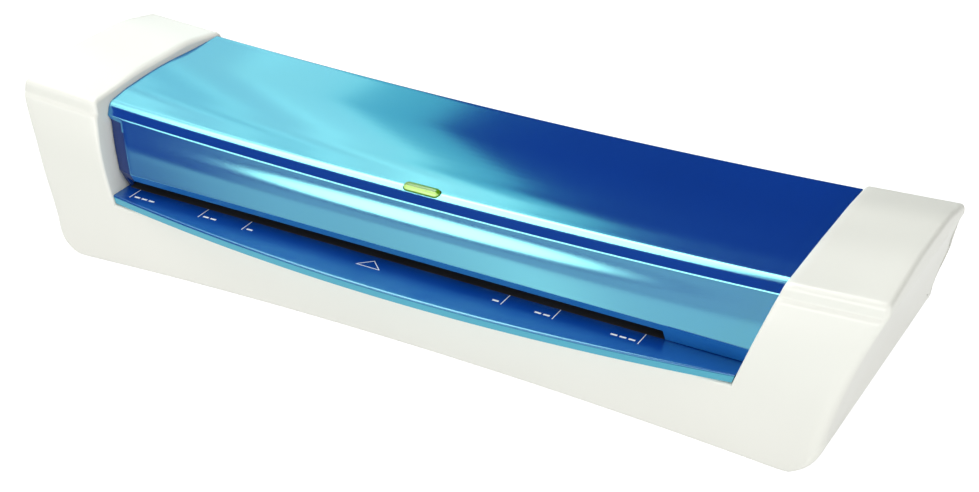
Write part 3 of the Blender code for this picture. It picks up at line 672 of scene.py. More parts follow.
@dataclass(frozen=True)
class PlasticFinish:
    """Moulded plastic: two close tones, a roughness range, grain and rubbed edges."""

    name: str
    tone: Colour
    shade: Colour
    rough: tuple[float, float] = (0.25, 0.35)
    grain_scale: float = 2500.0
    grain: float = 0.3
    relief: float = 0.00001
    wear: float = 0.4
    worn: Colour = (0.85, 0.85, 0.85)
    ior: float = 1.5
    flop: Colour = (1.0, 1.0, 1.0)

    def build(self, groups: Groups) -> bpy.types.Material:
        """Make the material.

        Args:
            groups: The shared node groups.

        Returns:
            The material.
        """
        kit = MaterialKit(self.name)
        skin = kit.group(groups.skin, Grain_Scale=self.grain_scale, Grain=self.grain)
        wear = kit.group(groups.wear, Amount=self.wear)
        base = kit.mix(skin.outputs["Tint"], self.shade, self.tone)
        kit.feed("Base Color", kit.over(wear.outputs["Mask"], base, self.worn))
        kit.feed("Roughness", kit.remap(skin.outputs["Haze"], NOISE_SPAN, self.rough))
        if self.relief > 0.0:
            kit.bump(skin.outputs["Height"], self.relief)
        kit.settle(IOR=self.ior, Specular_Tint=(*self.flop, 1.0))
        return kit.material


@dataclass(frozen=True)
class MetalFinish:
    """Rolled or drawn metal with fine lines and dull patches."""

    name: str
    tone: Colour
    shade: Colour
    rough: tuple[float, float] = (0.25, 0.45)
    line_scale: float = 900.0
    relief: float = 0.000008

    def build(self, groups: Groups) -> bpy.types.Material:
        """Make the material.

        Args:
            groups: The shared node groups.

        Returns:
            The material.
        """
        kit = MaterialKit(self.name)
        lines = kit.group(groups.lines, Line_Scale=self.line_scale)
        kit.feed("Base Color", kit.mix(lines.outputs["Patch"], self.shade, self.tone))
        kit.feed("Roughness", kit.remap(lines.outputs["Lines"], NOISE_SPAN, self.rough))
        kit.bump(lines.outputs["Lines"], self.relief)
        kit.settle(Metallic=1.0)
        return kit.material


class FinishBook:
    """Every material of the object, by plain name."""

    def __init__(self, groups: Groups) -> None:
        """Build all the finishes.

        Args:
            groups: The shared node groups.
        """
        plastics = [
            PlasticFinish("casing_white", (0.82, 0.82, 0.755), (0.80, 0.80, 0.735),
                          (0.285, 0.33), 2600.0, 0.25, 0.0, 0.0),
            PlasticFinish("cover_blue", (0.001, 0.040, 0.37), (0.001, 0.036, 0.34),
                          (0.14, 0.15), 3000.0, 0.15, 0.0, 0.0, ior=4.0,
                          flop=(0.36, 1.0, 0.86)),
            # Darker copy of the cover blue for the chamfer by the left cap: painted shade.
            PlasticFinish("cover_chamfer_shade", (0.001, 0.022, 0.14), (0.001, 0.020, 0.12),
                          (0.20, 0.24), 3000.0, 0.15, 0.0, 0.0),
            # Rougher, less glossy copy of the cover blue for the faces under the lip: painted
            # shade.
            PlasticFinish("cover_lip_shade", (0.001, 0.09, 0.42), (0.001, 0.08, 0.38),
                          (0.36, 0.40), 3000.0, 0.15, 0.0, 0.0, ior=2.4,
                          flop=(0.4, 1.0, 0.9)),
            PlasticFinish("tray_blue", (0.001, 0.052, 0.34), (0.001, 0.046, 0.31),
                          (0.20, 0.26), 3000.0, 0.2, 0.000002, 0.0, ior=2.4,
                          flop=(0.45, 1.0, 0.92)),
            # Lighter copy of the tray blue for the front strip: painted reflection.
            PlasticFinish("strip_painted_reflection", (0.06, 0.33, 0.50), (0.05, 0.30, 0.46),
                          (0.20, 0.26), 3000.0, 0.2, 0.000002, 0.0, ior=2.4,
                          flop=(0.40, 1.0, 0.92)),
            PlasticFinish("mark_white", (0.86, 0.89, 0.90), (0.80, 0.84, 0.86),
                          (0.45, 0.60), 4000.0, 0.6, 0.000006, 0.0),
            # Black for the sheet inside the slot: painted shadow.
            PlasticFinish("slot_painted_shadow", (0.01, 0.01, 0.012), (0.006, 0.006, 0.008),
                          (0.55, 0.75), 1800.0, 0.6, 0.00002, 0.0),
            PlasticFinish("guide_grey", (0.16, 0.17, 0.18), (0.12, 0.125, 0.13),
                          (0.40, 0.55), 1500.0, 0.8, 0.00003, 0.3, (0.3, 0.3, 0.3)),
            PlasticFinish("foot_rubber", (0.035, 0.035, 0.037), (0.02, 0.02, 0.022),
                          (0.65, 0.85), 1500.0, 1.0, 0.00005, 0.5, (0.10, 0.10, 0.10)),
            PlasticFinish("gland_rubber", (0.028, 0.028, 0.03), (0.018, 0.018, 0.02),
                          (0.55, 0.75), 1500.0, 1.0, 0.00004, 0.4, (0.08, 0.08, 0.08)),
            PlasticFinish("roller_silicone", (0.50, 0.10, 0.05), (0.43, 0.08, 0.04),
                          (0.45, 0.62), 1200.0, 0.8, 0.00003, 0.2, (0.6, 0.2, 0.12)),
            PlasticFinish("gear_nylon", (0.80, 0.78, 0.70), (0.72, 0.70, 0.62),
                          (0.35, 0.50), 1500.0, 0.5, 0.00002, 0.5, (0.55, 0.52, 0.44)),
            PlasticFinish("mica_sheet", (0.40, 0.31, 0.18), (0.27, 0.20, 0.11),
                          (0.40, 0.65), 900.0, 0.8, 0.00004, 0.2),
            PlasticFinish("solder_mask", (0.02, 0.16, 0.06), (0.015, 0.12, 0.045),
                          (0.25, 0.40), 1800.0, 0.5, 0.00002, 0.4, (0.35, 0.30, 0.12)),
            PlasticFinish("component_dark", (0.05, 0.05, 0.055), (0.03, 0.03, 0.033),
                          (0.30, 0.50), 1500.0, 0.5, 0.00002, 0.3, (0.15, 0.15, 0.15)),
            PlasticFinish("lamp_clear", (0.70, 0.85, 0.70), (0.60, 0.80, 0.60),
                          (0.08, 0.16), 1500.0, 0.2, 0.000005, 0.0),
        ]
        metals = [
            MetalFinish("frame_steel", (0.62, 0.63, 0.64), (0.50, 0.51, 0.52)),
            MetalFinish("shaft_steel", (0.72, 0.72, 0.73), (0.62, 0.62, 0.63), (0.12, 0.25)),
            MetalFinish("screw_zinc", (0.68, 0.68, 0.66), (0.52, 0.52, 0.50), (0.25, 0.45)),
            MetalFinish("heater_aluminium", (0.80, 0.80, 0.81), (0.70, 0.70, 0.71)),
            MetalFinish("bush_bronze", (0.60, 0.40, 0.16), (0.48, 0.30, 0.11), (0.30, 0.50)),
        ]
        self.materials = {f.name: f.build(groups) for f in [*plastics, *metals]}
        # Two copies of the lens green: the darker is the lens's own green, also kept dark as
        # painted shade on the crown's back half; the lighter is painted light on the crown's
        # front half.
        for name, low, high in (
                ("button_green", (0.09, 0.27, 0.004), (0.12, 0.32, 0.008)),
                ("button_painted_light", (0.50, 0.78, 0.19), (0.56, 0.84, 0.24))):
            self.materials[name] = self.button_lens(name, low, high, groups)

    def button_lens(self, name: str, low: Colour, high: Colour,
                    groups: Groups) -> bpy.types.Material:
        """Make a translucent lens material.

        Args:
            name: Name of the material.
            low: Deeper tone.
            high: Lighter tone.
            groups: The shared node groups.

        Returns:
            The material.
        """
        kit = MaterialKit(name)
        skin = kit.group(groups.skin, Grain_Scale=2000.0, Grain=0.2)
        wear = kit.group(groups.wear, Amount=0.3)
        base = kit.mix(skin.outputs["Tint"], low, high)
        kit.feed("Base Color", kit.over(wear.outputs["Mask"], base, (0.6, 0.85, 0.3)))
        kit.feed("Roughness", kit.remap(skin.outputs["Haze"], NOISE_SPAN, (0.12, 0.2)))
        kit.bump(skin.outputs["Height"], 0.000005)
        kit.settle(Subsurface_Weight=0.35, Subsurface_Scale=0.002, Coat_Weight=0.1,
                   Subsurface_Radius=(0.4, 1.0, 0.2))
        return kit.material

    def __getitem__(self, name: str) -> bpy.types.Material:
        """Find a material by name."""
        return self.materials[name]


# ------------------------------------------------------------------ pieces
def place_piece(obj: bpy.types.Object, material: bpy.types.Material,
                replaced: Sequence[str] = (), body: Body = Body.CHASSIS) -> None:
    """Dress a piece and hang it on its body.

    Args:
        obj: The piece.
        material: Its material.
        replaced: CAD nodes that it stands for.
        body: Body that it rides on.
    """
    if not obj.data.materials:
        obj.data.materials.append(material)
    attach(obj, body.value)
    if replaced:
        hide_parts(*replaced)
    LOG.info("%s on %s, %d vertices", obj.name, body.value,
             len(getattr(obj.data, "vertices", ())))


@dataclass
class Housing:
    """White moulding of both end caps and the apron, in millimetres."""

    front_rim: float = 5.0
    top_rim: float = 1.8
    inner_edge: float = 1.1
    return_depth: float = 13.0
    wall: float = 1.0
    base_half_x: float = 143.85
    bend_x: float = 140.0
    cap_columns: int = 12
    apron_columns: int = 22
    core: tuple[float, float] = (5.0, 38.0)
    split: tuple[Corner, ...] = (
        Corner(31.7, 62.6), Corner(59.9, 36.3), Corner(59.9, 14.0), Corner(49.2, 2.8))
    corners: tuple[Corner, ...] = (
        Corner(-41.0, 2.8), Corner(-57.5, 2.8, 2.0, 5), Corner(-57.5, 46.4, 90.0, 14),
        Corner(-50.9, 65.3, 3.4, 6), Corner(-49.6, 66.5, 1.5, 5),
        Corner(-48.4, 71.1, 3.2, 8),
        Corner(-20.0, 74.7, 120.0, 8),
        Corner(12.0, 74.4, 70.0, 8), Corner(32.6, 70.0, 2.0, 5), Corner(33.3, 65.75))

    def rim_radius(self, point: PathPoint, rear: bool) -> float:
        """Rounding between the skin and the end face.

        Args:
            point: Point of the section.
            rear: Whether it lies behind the seam of the rear cover.

        Returns:
            The radius.
        """
        if rear:
            return 0.15
        if point.nz < -0.5:
            return 0.6
        if point.ny < -0.7:
            share = ease(point.z, 4.0, 16.0) * (1.0 - ease(point.z, 46.0, 68.0))
            return self.top_rim + (self.front_rim - self.top_rim) * share
        return self.top_rim

    def outline(self) -> tuple[list[PathPoint], int]:
        """Closed ring of the section.

        Returns:
            The ring, which starts on the underside behind the apron and runs up the front,
            and the number of its points that belong to the skin.
        """
        skin = rounded_path(self.corners, 1.6)
        apron_row = FORM.apron_top - self.inner_edge
        at = next(i for i, p in enumerate(skin) if p.z > apron_row and p.ny < -0.9)
        low, high = skin[at - 1], skin[at]
        share = (apron_row - low.z) / (high.z - low.z)
        skin.insert(at, PathPoint(*(a + (b - a) * share for a, b in zip(low, high))))
        last = self.corners[-1]
        rear = rounded_path([Corner(last.y, last.z), *self.split, Corner(-40.5, 2.8)], 3.5)
        return skin + rear[1:], len(skin)

    def inner_x(self, point: PathPoint, on_skin: bool) -> float:
        """Find where the cap's skin starts, before the rounding of its inner edge.

        Args:
            point: Point of the section.
            on_skin: Whether it lies on the outer skin.

        Returns:
            Distance from the middle.
        """
        if not on_skin:
            return self.base_half_x
        return FORM.wall_x(max(point.z + FORM.bend(self.bend_x, point.y, point.z),
                               FORM.apron_top)) + self.inner_edge

    def build(self) -> bpy.types.Object:
        """Build the half skin, mirror it and give it a wall.

        Returns:
            The housing.
        """
        sheet = Sheet()
        ring, skin_count = self.outline()
        on_skin = [i < skin_count for i in range(len(ring))]
        split_end = next(i for i, p in enumerate(ring)
                         if i >= skin_count and abs(p.z - FORM.bottom) < 0.01)
        is_rear = [skin_count - 1 <= i < split_end for i in range(len(ring))]
        rims = [self.rim_radius(p, r) for p, r in zip(ring, is_rear)]
        columns = self.cap_skin(sheet, ring, on_skin, is_rear, rims)
        self.end_face(sheet, ring, is_rear, rims, columns[-1])
        apron_row = next(i for i, p in enumerate(ring)
                         if abs(p.z - (FORM.apron_top - self.inner_edge)) < 0.01)
        front_columns = self.apron(sheet, ring, apron_row, columns[0])
        self.inner_return(sheet, ring, skin_count, apron_row, columns[0], front_columns)
        half = sheet.to_object("housing_shell", Vector((0.3, -1.0, 0.6)))
        mirror = half.modifiers.new("mirror", "MIRROR")
        mirror.use_clip = True
        mirror.merge_threshold = 0.00001
        thicken(half, self.wall)
        return half

    def cap_skin(self, sheet: Sheet, ring: list[PathPoint], on_skin: list[bool],
                 is_rear: list[bool], rims: list[float]) -> list[list[int]]:
        """Skin of the right cap from its inner edge to the end's rounding.

        Args:
            sheet: Mesh under construction.
            ring: Points of the section.
            on_skin: Which points lie on the outer skin.
            is_rear: Which gaps of the ring the rear cover closes.
            rims: Rounding at each point.

        Returns:
            The rings of vertices from the inside out.
        """
        rows = []
        for k in range(self.cap_columns + 1):
            s = k / self.cap_columns
            points = []
            for p, skin, rim in zip(ring, on_skin, rims):
                start = self.inner_x(p, skin)
                x = start + s * (FORM.end_x(p.z) - rim - start)
                points.append(FORM.place(x, p.y, p.z))
            rows.append(sheet.row(points))
        sheet.loft(rows, is_rear, closed=True)
        return rows

    def end_face(self, sheet: Sheet, ring: list[PathPoint], is_rear: list[bool],
                 rims: list[float], start: list[int]) -> None:
        """Rounding of the end and the end face, closed to a point.

        Args:
            sheet: Mesh under construction.
            ring: Points of the section.
            is_rear: Which gaps the rear cover closes.
            rims: Rounding at each point.
            start: Ring of vertices that the rounding starts from.
        """
        before = start
        spots: list[tuple[float, float]] = []
        for k in range(1, 6):
            tilt = math.radians(18.0 * k)
            spots = []
            points = []
            for p, rim in zip(ring, rims):
                inset = rim * (1.0 - math.cos(tilt))
                y, z = p.y - p.ny * inset, p.z - p.nz * inset
                spots.append((y, z))
                points.append(FORM.place(FORM.end_x(z) - rim * (1.0 - math.sin(tilt)), y, z))
            row = sheet.row(points)
            sheet.strip(before, row, is_rear if k == 1 else (), closed=True)
            before = row
        for share in (0.985, 0.95, 0.90, 0.84, 0.76, 0.66, 0.54, 0.40, 0.25, 0.10):
            points = []
            for y, z in spots:
                yy = self.core[0] + (y - self.core[0]) * share
                zz = self.core[1] + (z - self.core[1]) * share
                points.append(FORM.place(FORM.end_x(zz), yy, zz))
            row = sheet.row(points)
            sheet.strip(before, row, closed=True)
            before = row
        hub = sheet.row([(FORM.end_x(self.core[1]), *self.core)])[0]
        sheet.fan(before, hub)

    def apron(self, sheet: Sheet, ring: list[PathPoint], top: int,
              edge: list[int]) -> list[list[int]]:
        """Apron under the tray, from the middle to the cap.

        Args:
            sheet: Mesh under construction.
            ring: Points of the section.
            top: Index of the apron's highest point in the ring.
            edge: The cap's first ring of vertices.

        Returns:
            Columns of vertices from the middle outwards, the last being the cap's own.
        """
        columns = []
        for k in range(self.apron_columns):
            s = k / self.apron_columns
            columns.append(sheet.row([
                FORM.place(s * self.inner_x(p, True), p.y, p.z) for p in ring[:top + 1]]))
        columns.append(edge[:top + 1])
        sheet.loft(columns)
        return columns

    def inner_return(self, sheet: Sheet, ring: list[PathPoint], skin_count: int, top: int,
                     edge: list[int], columns: list[list[int]]) -> None:
        """Rounded inner edge of the cap and apron and the wall that returns inwards.

        Args:
            sheet: Mesh under construction.
            ring: Points of the section.
            skin_count: Number of ring points on the skin.
            top: Index of the apron's highest point.
            edge: The cap's first ring of vertices.
            columns: The apron's columns.
        """
        before = [edge[i] for i in range(skin_count - 1, top - 1, -1)]
        before += [column[top] for column in reversed(columns[:-1])]
        corner = skin_count - 1 - top
        r = self.inner_edge
        steps = [(math.radians(22.5 * k), 0.0) for k in range(1, 5)]
        steps += [(math.pi / 2, depth) for depth in (3.0, 7.0, self.return_depth)]
        for tilt, depth in steps:
            points = []
            inset = r * (1.0 - math.cos(tilt))
            spare = r * (1.0 - math.sin(tilt))
            for k in range(len(before)):
                i = skin_count - 1 - k if k <= corner else top
                p = ring[i]
                if k <= corner:
                    y, z = p.y - p.ny * inset, p.z - p.nz * inset
                    out = Vector((self.core[0] - y, self.core[1] - z)).normalized() * depth
                    y, z = y + out.x, z + out.y
                    if k == corner:
                        y, z = p.y + inset + depth, FORM.apron_top - spare
                    if depth == 0:
                        height = z + FORM.bend(self.bend_x, y, z)
                    else:
                        height = z + FORM.bend(self.bend_x, p.y, p.z)
                    x = FORM.wall_x(max(height, FORM.apron_top)) + spare
                    points.append((x, y, height))
                else:
                    share = (len(before) - 1 - k) / (len(before) - 1 - corner)
                    x = share * (FORM.wall_x(FORM.apron_top) + spare)
                    points.append((x, p.y + inset + depth, FORM.apron_top - spare))
            row = sheet.row(points)
            sheet.strip(before, row)
            before = row

    def dress(self, book: FinishBook) -> None:
        """Build and dress the housing."""
        place_piece(self.build(), book["casing_white"], ["housing"])


@dataclass
class TopCover:
    """Blue cover: front face, bevelled crease and dipping top, in millimetres."""

    wall: float = 1.4
    seam: float = 0.3
    chamfer: float = 6.5
    chamfer_back: float = 1.6
    chamfer_fade: tuple[float, float] = (-45.5, -44.4)
    low: float = 35.4
    lip: tuple[float, float] = (-50.3, 42.3)
    face_limit: float = -40.0
    bend_x: float = 141.0
    columns: int = 96
    slot: tuple[float, float] = (-129.3, 100.0)
    slot_height: float = 4.0
    slot_slant: float = 1.6
    slot_corner: float = 0.2
    corners: tuple[Corner, ...] = (
        Corner(-48.1, 35.4), Corner(-50.3, 42.3, 1.6, 5), Corner(-48.1, 52.0, 200.0, 8),
        Corner(-44.6, 64.7, 2.6, 8),
        Corner(-41.2, 69.0, 6.0, 10), Corner(-30.0, 71.2, 60.0, 8),
        Corner(-8.0, 73.1, 150.0, 8), Corner(31.0, 69.7, 2.5, 6), Corner(31.6, 66.2))

    def low_edge(self, x: float) -> float:
        """Height of the cover's lower edge, which the slot lifts.

        Args:
            x: Place along the length.

        Returns:
            The height.
        """
        left = ease(x, self.slot[0] - self.slot_corner, self.slot[0] + self.slot_corner)
        right = 1.0 - min(max((x - self.slot[1]) / self.slot_slant, 0.0), 1.0)
        return self.low + self.slot_height * min(left, right)

    def stations(self) -> list[float]:
        """Choose places along the length, closer together where the shape changes.

        Returns:
            The places, from left to right.
        """
        end = FORM.wall_x(36.5) - self.seam
        xs = [end * (2.0 * i / self.columns - 1.0) for i in range(self.columns + 1)]
        xs += [self.slot[1], self.slot[1] + self.slot_slant]
        xs += [self.slot[0] - self.slot_corner, self.slot[0] + self.slot_corner]
        xs.append(self.chamfer - end)
        return sorted(xs)

    def build(self, book: FinishBook) -> bpy.types.Object:
        """Build the shell with the hole for the button.

        Args:
            book: The finishes.

        Returns:
            The cover.
        """
        path = rounded_path(self.corners, 1.6)
        sheet = Sheet()
        end = FORM.wall_x(36.5) - self.seam
        rows = []
        for station in self.stations():
            share = station / end
            cut = (self.lip[1] - self.low_edge(station)) / (self.lip[1] - self.low)
            points = []
            for p in path:
                y, z = p.y, p.z
                if p.y < self.face_limit and z < self.lip[1]:
                    y = self.lip[0] + (y - self.lip[0]) * cut
                    z = self.lip[1] + (z - self.lip[1]) * cut
                height = z + FORM.bend(share * self.bend_x, y, z)
                half = FORM.wall_x(height) - self.seam
                x = share * half
                inside = min(max((self.chamfer - half - x) / self.chamfer, 0.0), 1.0)
                front = 1.0 - ease(y, *self.chamfer_fade)
                points.append((x, y + self.chamfer_back * inside * front, height))
            rows.append(sheet.row(points))
        sheet.loft(rows)
        cover = sheet.to_object("cover_shell", Vector((0.0, -0.6, 1.0)))
        thicken(cover, self.wall)
        subtract(cover, PowerButton().prism("button_hole", 0.3, -6.0, 6.0))
        for name in ("cover_blue", "cover_chamfer_shade", "cover_lip_shade"):
            cover.data.materials.append(book[name])
        for face in cover.data.polygons:
            # Slot 1, the darker copy of the cover blue, goes on the left chamfer's faces that
            # look left and forward: painted shade beside the left cap.
            if face.normal.x < -0.15 and face.normal.y < -0.3:
                face.material_index = 1
            # Slot 2, the duller copy of the cover blue, goes on the faces under the lip that
            # look down: painted shade under the lip.
            elif face.normal.z < -0.15 and face.normal.y < -0.5:
                face.material_index = 2
        return cover

    def dress(self, book: FinishBook) -> None:
        """Build and dress the cover."""
        place_piece(self.build(book), book["cover_blue"], ["top_cover"])


@dataclass
class FeedTray:
    """Blue tray with a bowed front edge, a parting groove and guide marks."""

    rear_y: float = -36.0
    front_y: float = -67.45
    bow: float = 11.0
    thick: float = 3.5
    groove_z: float = 0.55
    seam: float = 0.3
    columns: int = 80
    mark_centre: float = -14.9
    marks: tuple[float, ...] = (55.8, 76.1, 109.0)
    mark_rear: float = -48.0
    mark_length: float = 6.6
    line: float = 0.32
    tick: tuple[float, float] = (1.6, 0.9)
    tick_gap: float = 2.0
    tick_pitch: float = 3.4
    tick_lift: float = 1.2

    def front_at(self, x: float) -> float:
        """Front edge of the tray at a place along the length."""
        return self.front_y + self.bow * (x / FORM.tray_half_x) ** 2

    def section(self) -> list[tuple[float, float]]:
        """Section of the front edge.

        Returns:
            (distance behind the edge, height) pairs from the top down.
        """
        top = FORM.tray_top
        g = top - self.groove_z
        low = top - self.thick
        return [(1.0, top), (0.6, top), (0.34, top - 0.05), (0.12, top - 0.18),
                (0.02, top - 0.36), (0.0, g + 0.04), (0.14, g), (0.14, g - 0.14),
                (0.0, g - 0.18), (0.0, low + 0.5), (0.12, low + 0.22), (0.4, low + 0.05),
                (0.8, low)]

    def build(self) -> bpy.types.Object:
        """Build the tray as one closed body.

        Returns:
            The tray, with its front strip in a second, lighter material that is painted
            reflection.
        """
        sheet = Sheet()
        edge = self.section()
        rows = []
        for k in range(self.columns + 1):
            s = 2.0 * k / self.columns - 1.0
            points = []
            for back, z in edge:
                half = FORM.wall_x(z) - self.seam
                points.append((s * half, self.front_at(s * half) + back, z))
            for z in (edge[-1][1], edge[0][1]):
                half = FORM.wall_x(z) - self.seam
                points.append((s * half, self.rear_y, z))
            top_half = FORM.wall_x(edge[0][1]) - self.seam
            points.append((s * top_half, self.mark_rear, edge[0][1]))
            rows.append(sheet.row(points))
        sheet.loft(rows, closed=True)
        sheet.cap(rows[0], rows[-1])
        return sheet.to_object("tray_plate")

    def marks_piece(self) -> bpy.types.Object:
        """Print guide lines with plain size ticks and the feed arrow.

        Returns:
            The printed marks.
        """
        sheet = Sheet()
        low, high = FORM.tray_top + 0.002, FORM.tray_top + 0.03

        def bar(ax: float, ay: float, bx: float, by: float, width: float) -> None:
            """Lay a thin raised bar between two points.

            Args:
                ax: First point, along the length.
                ay: First point, across the depth.
                bx: Second point, along the length.
                by: Second point, across the depth.
                width: Width of the bar.
            """
            along = Vector((bx - ax, by - ay)).normalized() * width / 2
            side = Vector((-along.y, along.x))
            base = [(ax - along.x - side.x, ay - along.y - side.y),
                    (bx + along.x - side.x, by + along.y - side.y),
                    (bx + along.x + side.x, by + along.y + side.y),
                    (ax - along.x + side.x, ay - along.y + side.y)]
            bottom = sheet.row([(x, y, low) for x, y in base])
            top = sheet.row([(x, y, high) for x, y in base])
            sheet.strip(bottom, top, closed=True)
            sheet.cap(top, bottom)

        front = self.mark_rear - self.mark_length
        length, width = self.tick
        for rank, half in enumerate(self.marks):
            for side in (-1.0, 1.0):
                x = self.mark_centre + side * half
                bar(x, self.mark_rear, x, front, self.line)
                for k in range(rank + 1):
                    near = x - side * (self.tick_gap + k * self.tick_pitch)
                    bar(near, front + self.tick_lift, near - side * length,
                        front + self.tick_lift, width)
        x, y = self.mark_centre + 0.8, -50.6
        tip, left, right = (x, y), (x - 4.9, y - 4.7), (x + 4.9, y - 4.7)
        for a, b in ((tip, left), (left, right), (right, tip)):
            bar(*a, *b, self.line)
        return sheet.to_object("tray_marks")

    def mouth(self) -> bpy.types.Object:
        """Lay a black sheet on the slot's floor from the mouth inwards: painted shadow inside
        the slot.

        Returns:
            The black sheet of painted shadow.
        """
        left, right = TopCover().slot
        sheet = Sheet()
        profile = [(-47.8, 0.03), (-47.6, 0.18), (-44.0, 0.55), (-39.0, 0.7), (-36.2, 0.7),
                   (-36.2, 0.03)]
        rows = []
        for k in range(25):
            x = left + 0.3 + (right - left + 0.4) * k / 24
            rows.append(sheet.row([(x, y, FORM.tray_top + up) for y, up in profile]))
        sheet.loft(rows, closed=True)
        sheet.cap(rows[0], rows[-1])
        return sheet.to_object("slot_shadow_sheet")

    def dress(self, book: FinishBook) -> None:
        """Build and dress the tray, its marks and the black sheet of painted shadow in the
        slot.

        Args:
            book: The finishes.
        """
        tray = self.build()
        tray.data.materials.append(book["tray_blue"])
        tray.data.materials.append(book["strip_painted_reflection"])
        # Faces of the front strip below the groove get the lighter blue: painted reflection on
        # the strip.
        groove = (FORM.tray_top - self.groove_z) * MM
        for face in tray.data.polygons:
            if face.center.z < groove and face.normal.z < 0.5:
                face.material_index = 1
        place_piece(tray, book["tray_blue"], ["feed_tray"])
        place_piece(self.marks_piece(), book["mark_white"])
        place_piece(self.mouth(), book["slot_painted_shadow"])


@dataclass
class PowerButton:
    """Green lens on the crease, which travels along its own axis."""

    centre: Vector = field(default_factory=lambda: Vector((0.5, -40.3, 63.8)))
    out: Vector = field(default_factory=lambda: Vector((0.0, -0.545, 0.838)).normalized())
    length: float = 15.0
    width: float = 3.6

    def prism(self, name: str, grow: float, low: float, high: float) -> bpy.types.Object:
        """Plain capsule-shaped tool along the button's axis.

        Args:
            name: Name of the object.
            grow: How far it stands outside the button's sides.
            low: Lower end on the axis.
            high: Upper end on the axis.

        Returns:
            The closed prism.
        """
        return self.stack(name, [(grow, low), (grow, high)])

    def stack(self, name: str, levels: Sequence[tuple[float, float]]) -> bpy.types.Object:
        """Loft capsule outlines along the axis and close both ends.

        Args:
            name: Name of the object.
            levels: (growth of the outline, height on the axis) from the bottom up.

        Returns:
            The closed body.
        """
        up = self.out
        side = Vector((1.0, 0.0, 0.0))
        other = up.cross(side)
        sheet = Sheet()
        rings = []
        for grow, height in levels:
            outline = capsule(self.length + 2 * grow, self.width / 2 + grow)
            rings.append(sheet.row([self.centre + side * a + other * b + up * height
                                    for a, b in outline]))
        sheet.loft(rings, closed=True)
        sheet.cap(rings[-1], rings[0])
        return sheet.to_object(name)

    def dress(self, book: FinishBook) -> None:
        """Build and dress the button.

        Args:
            book: The finishes.
        """
        levels = [(-0.25, -3.4), (0.0, -3.15), (0.0, 0.1), (-0.12, 0.25)]
        levels += [(-0.12 - 1.5 * k / 6, 0.25 + 0.65 * math.sin(math.radians(15.0 * k)))
                   for k in range(1, 7)]
        lens = self.stack("button_lens", levels)
        lens.data.materials.append(book["button_green"])
        lens.data.materials.append(book["button_painted_light"])
        # The crown's faces that look forward get the lighter green as painted light; the rest
        # keeps the darker green, which is partly painted shade.
        for face in lens.data.polygons:
            crown = (Vector(face.center) / MM - self.centre).dot(self.out) > 0.2
            if crown and face.normal.y < self.out.y - 0.03:
                face.material_index = 1
        place_piece(lens, book["button_green"], ["power_button"],
                    Body.BUTTON)


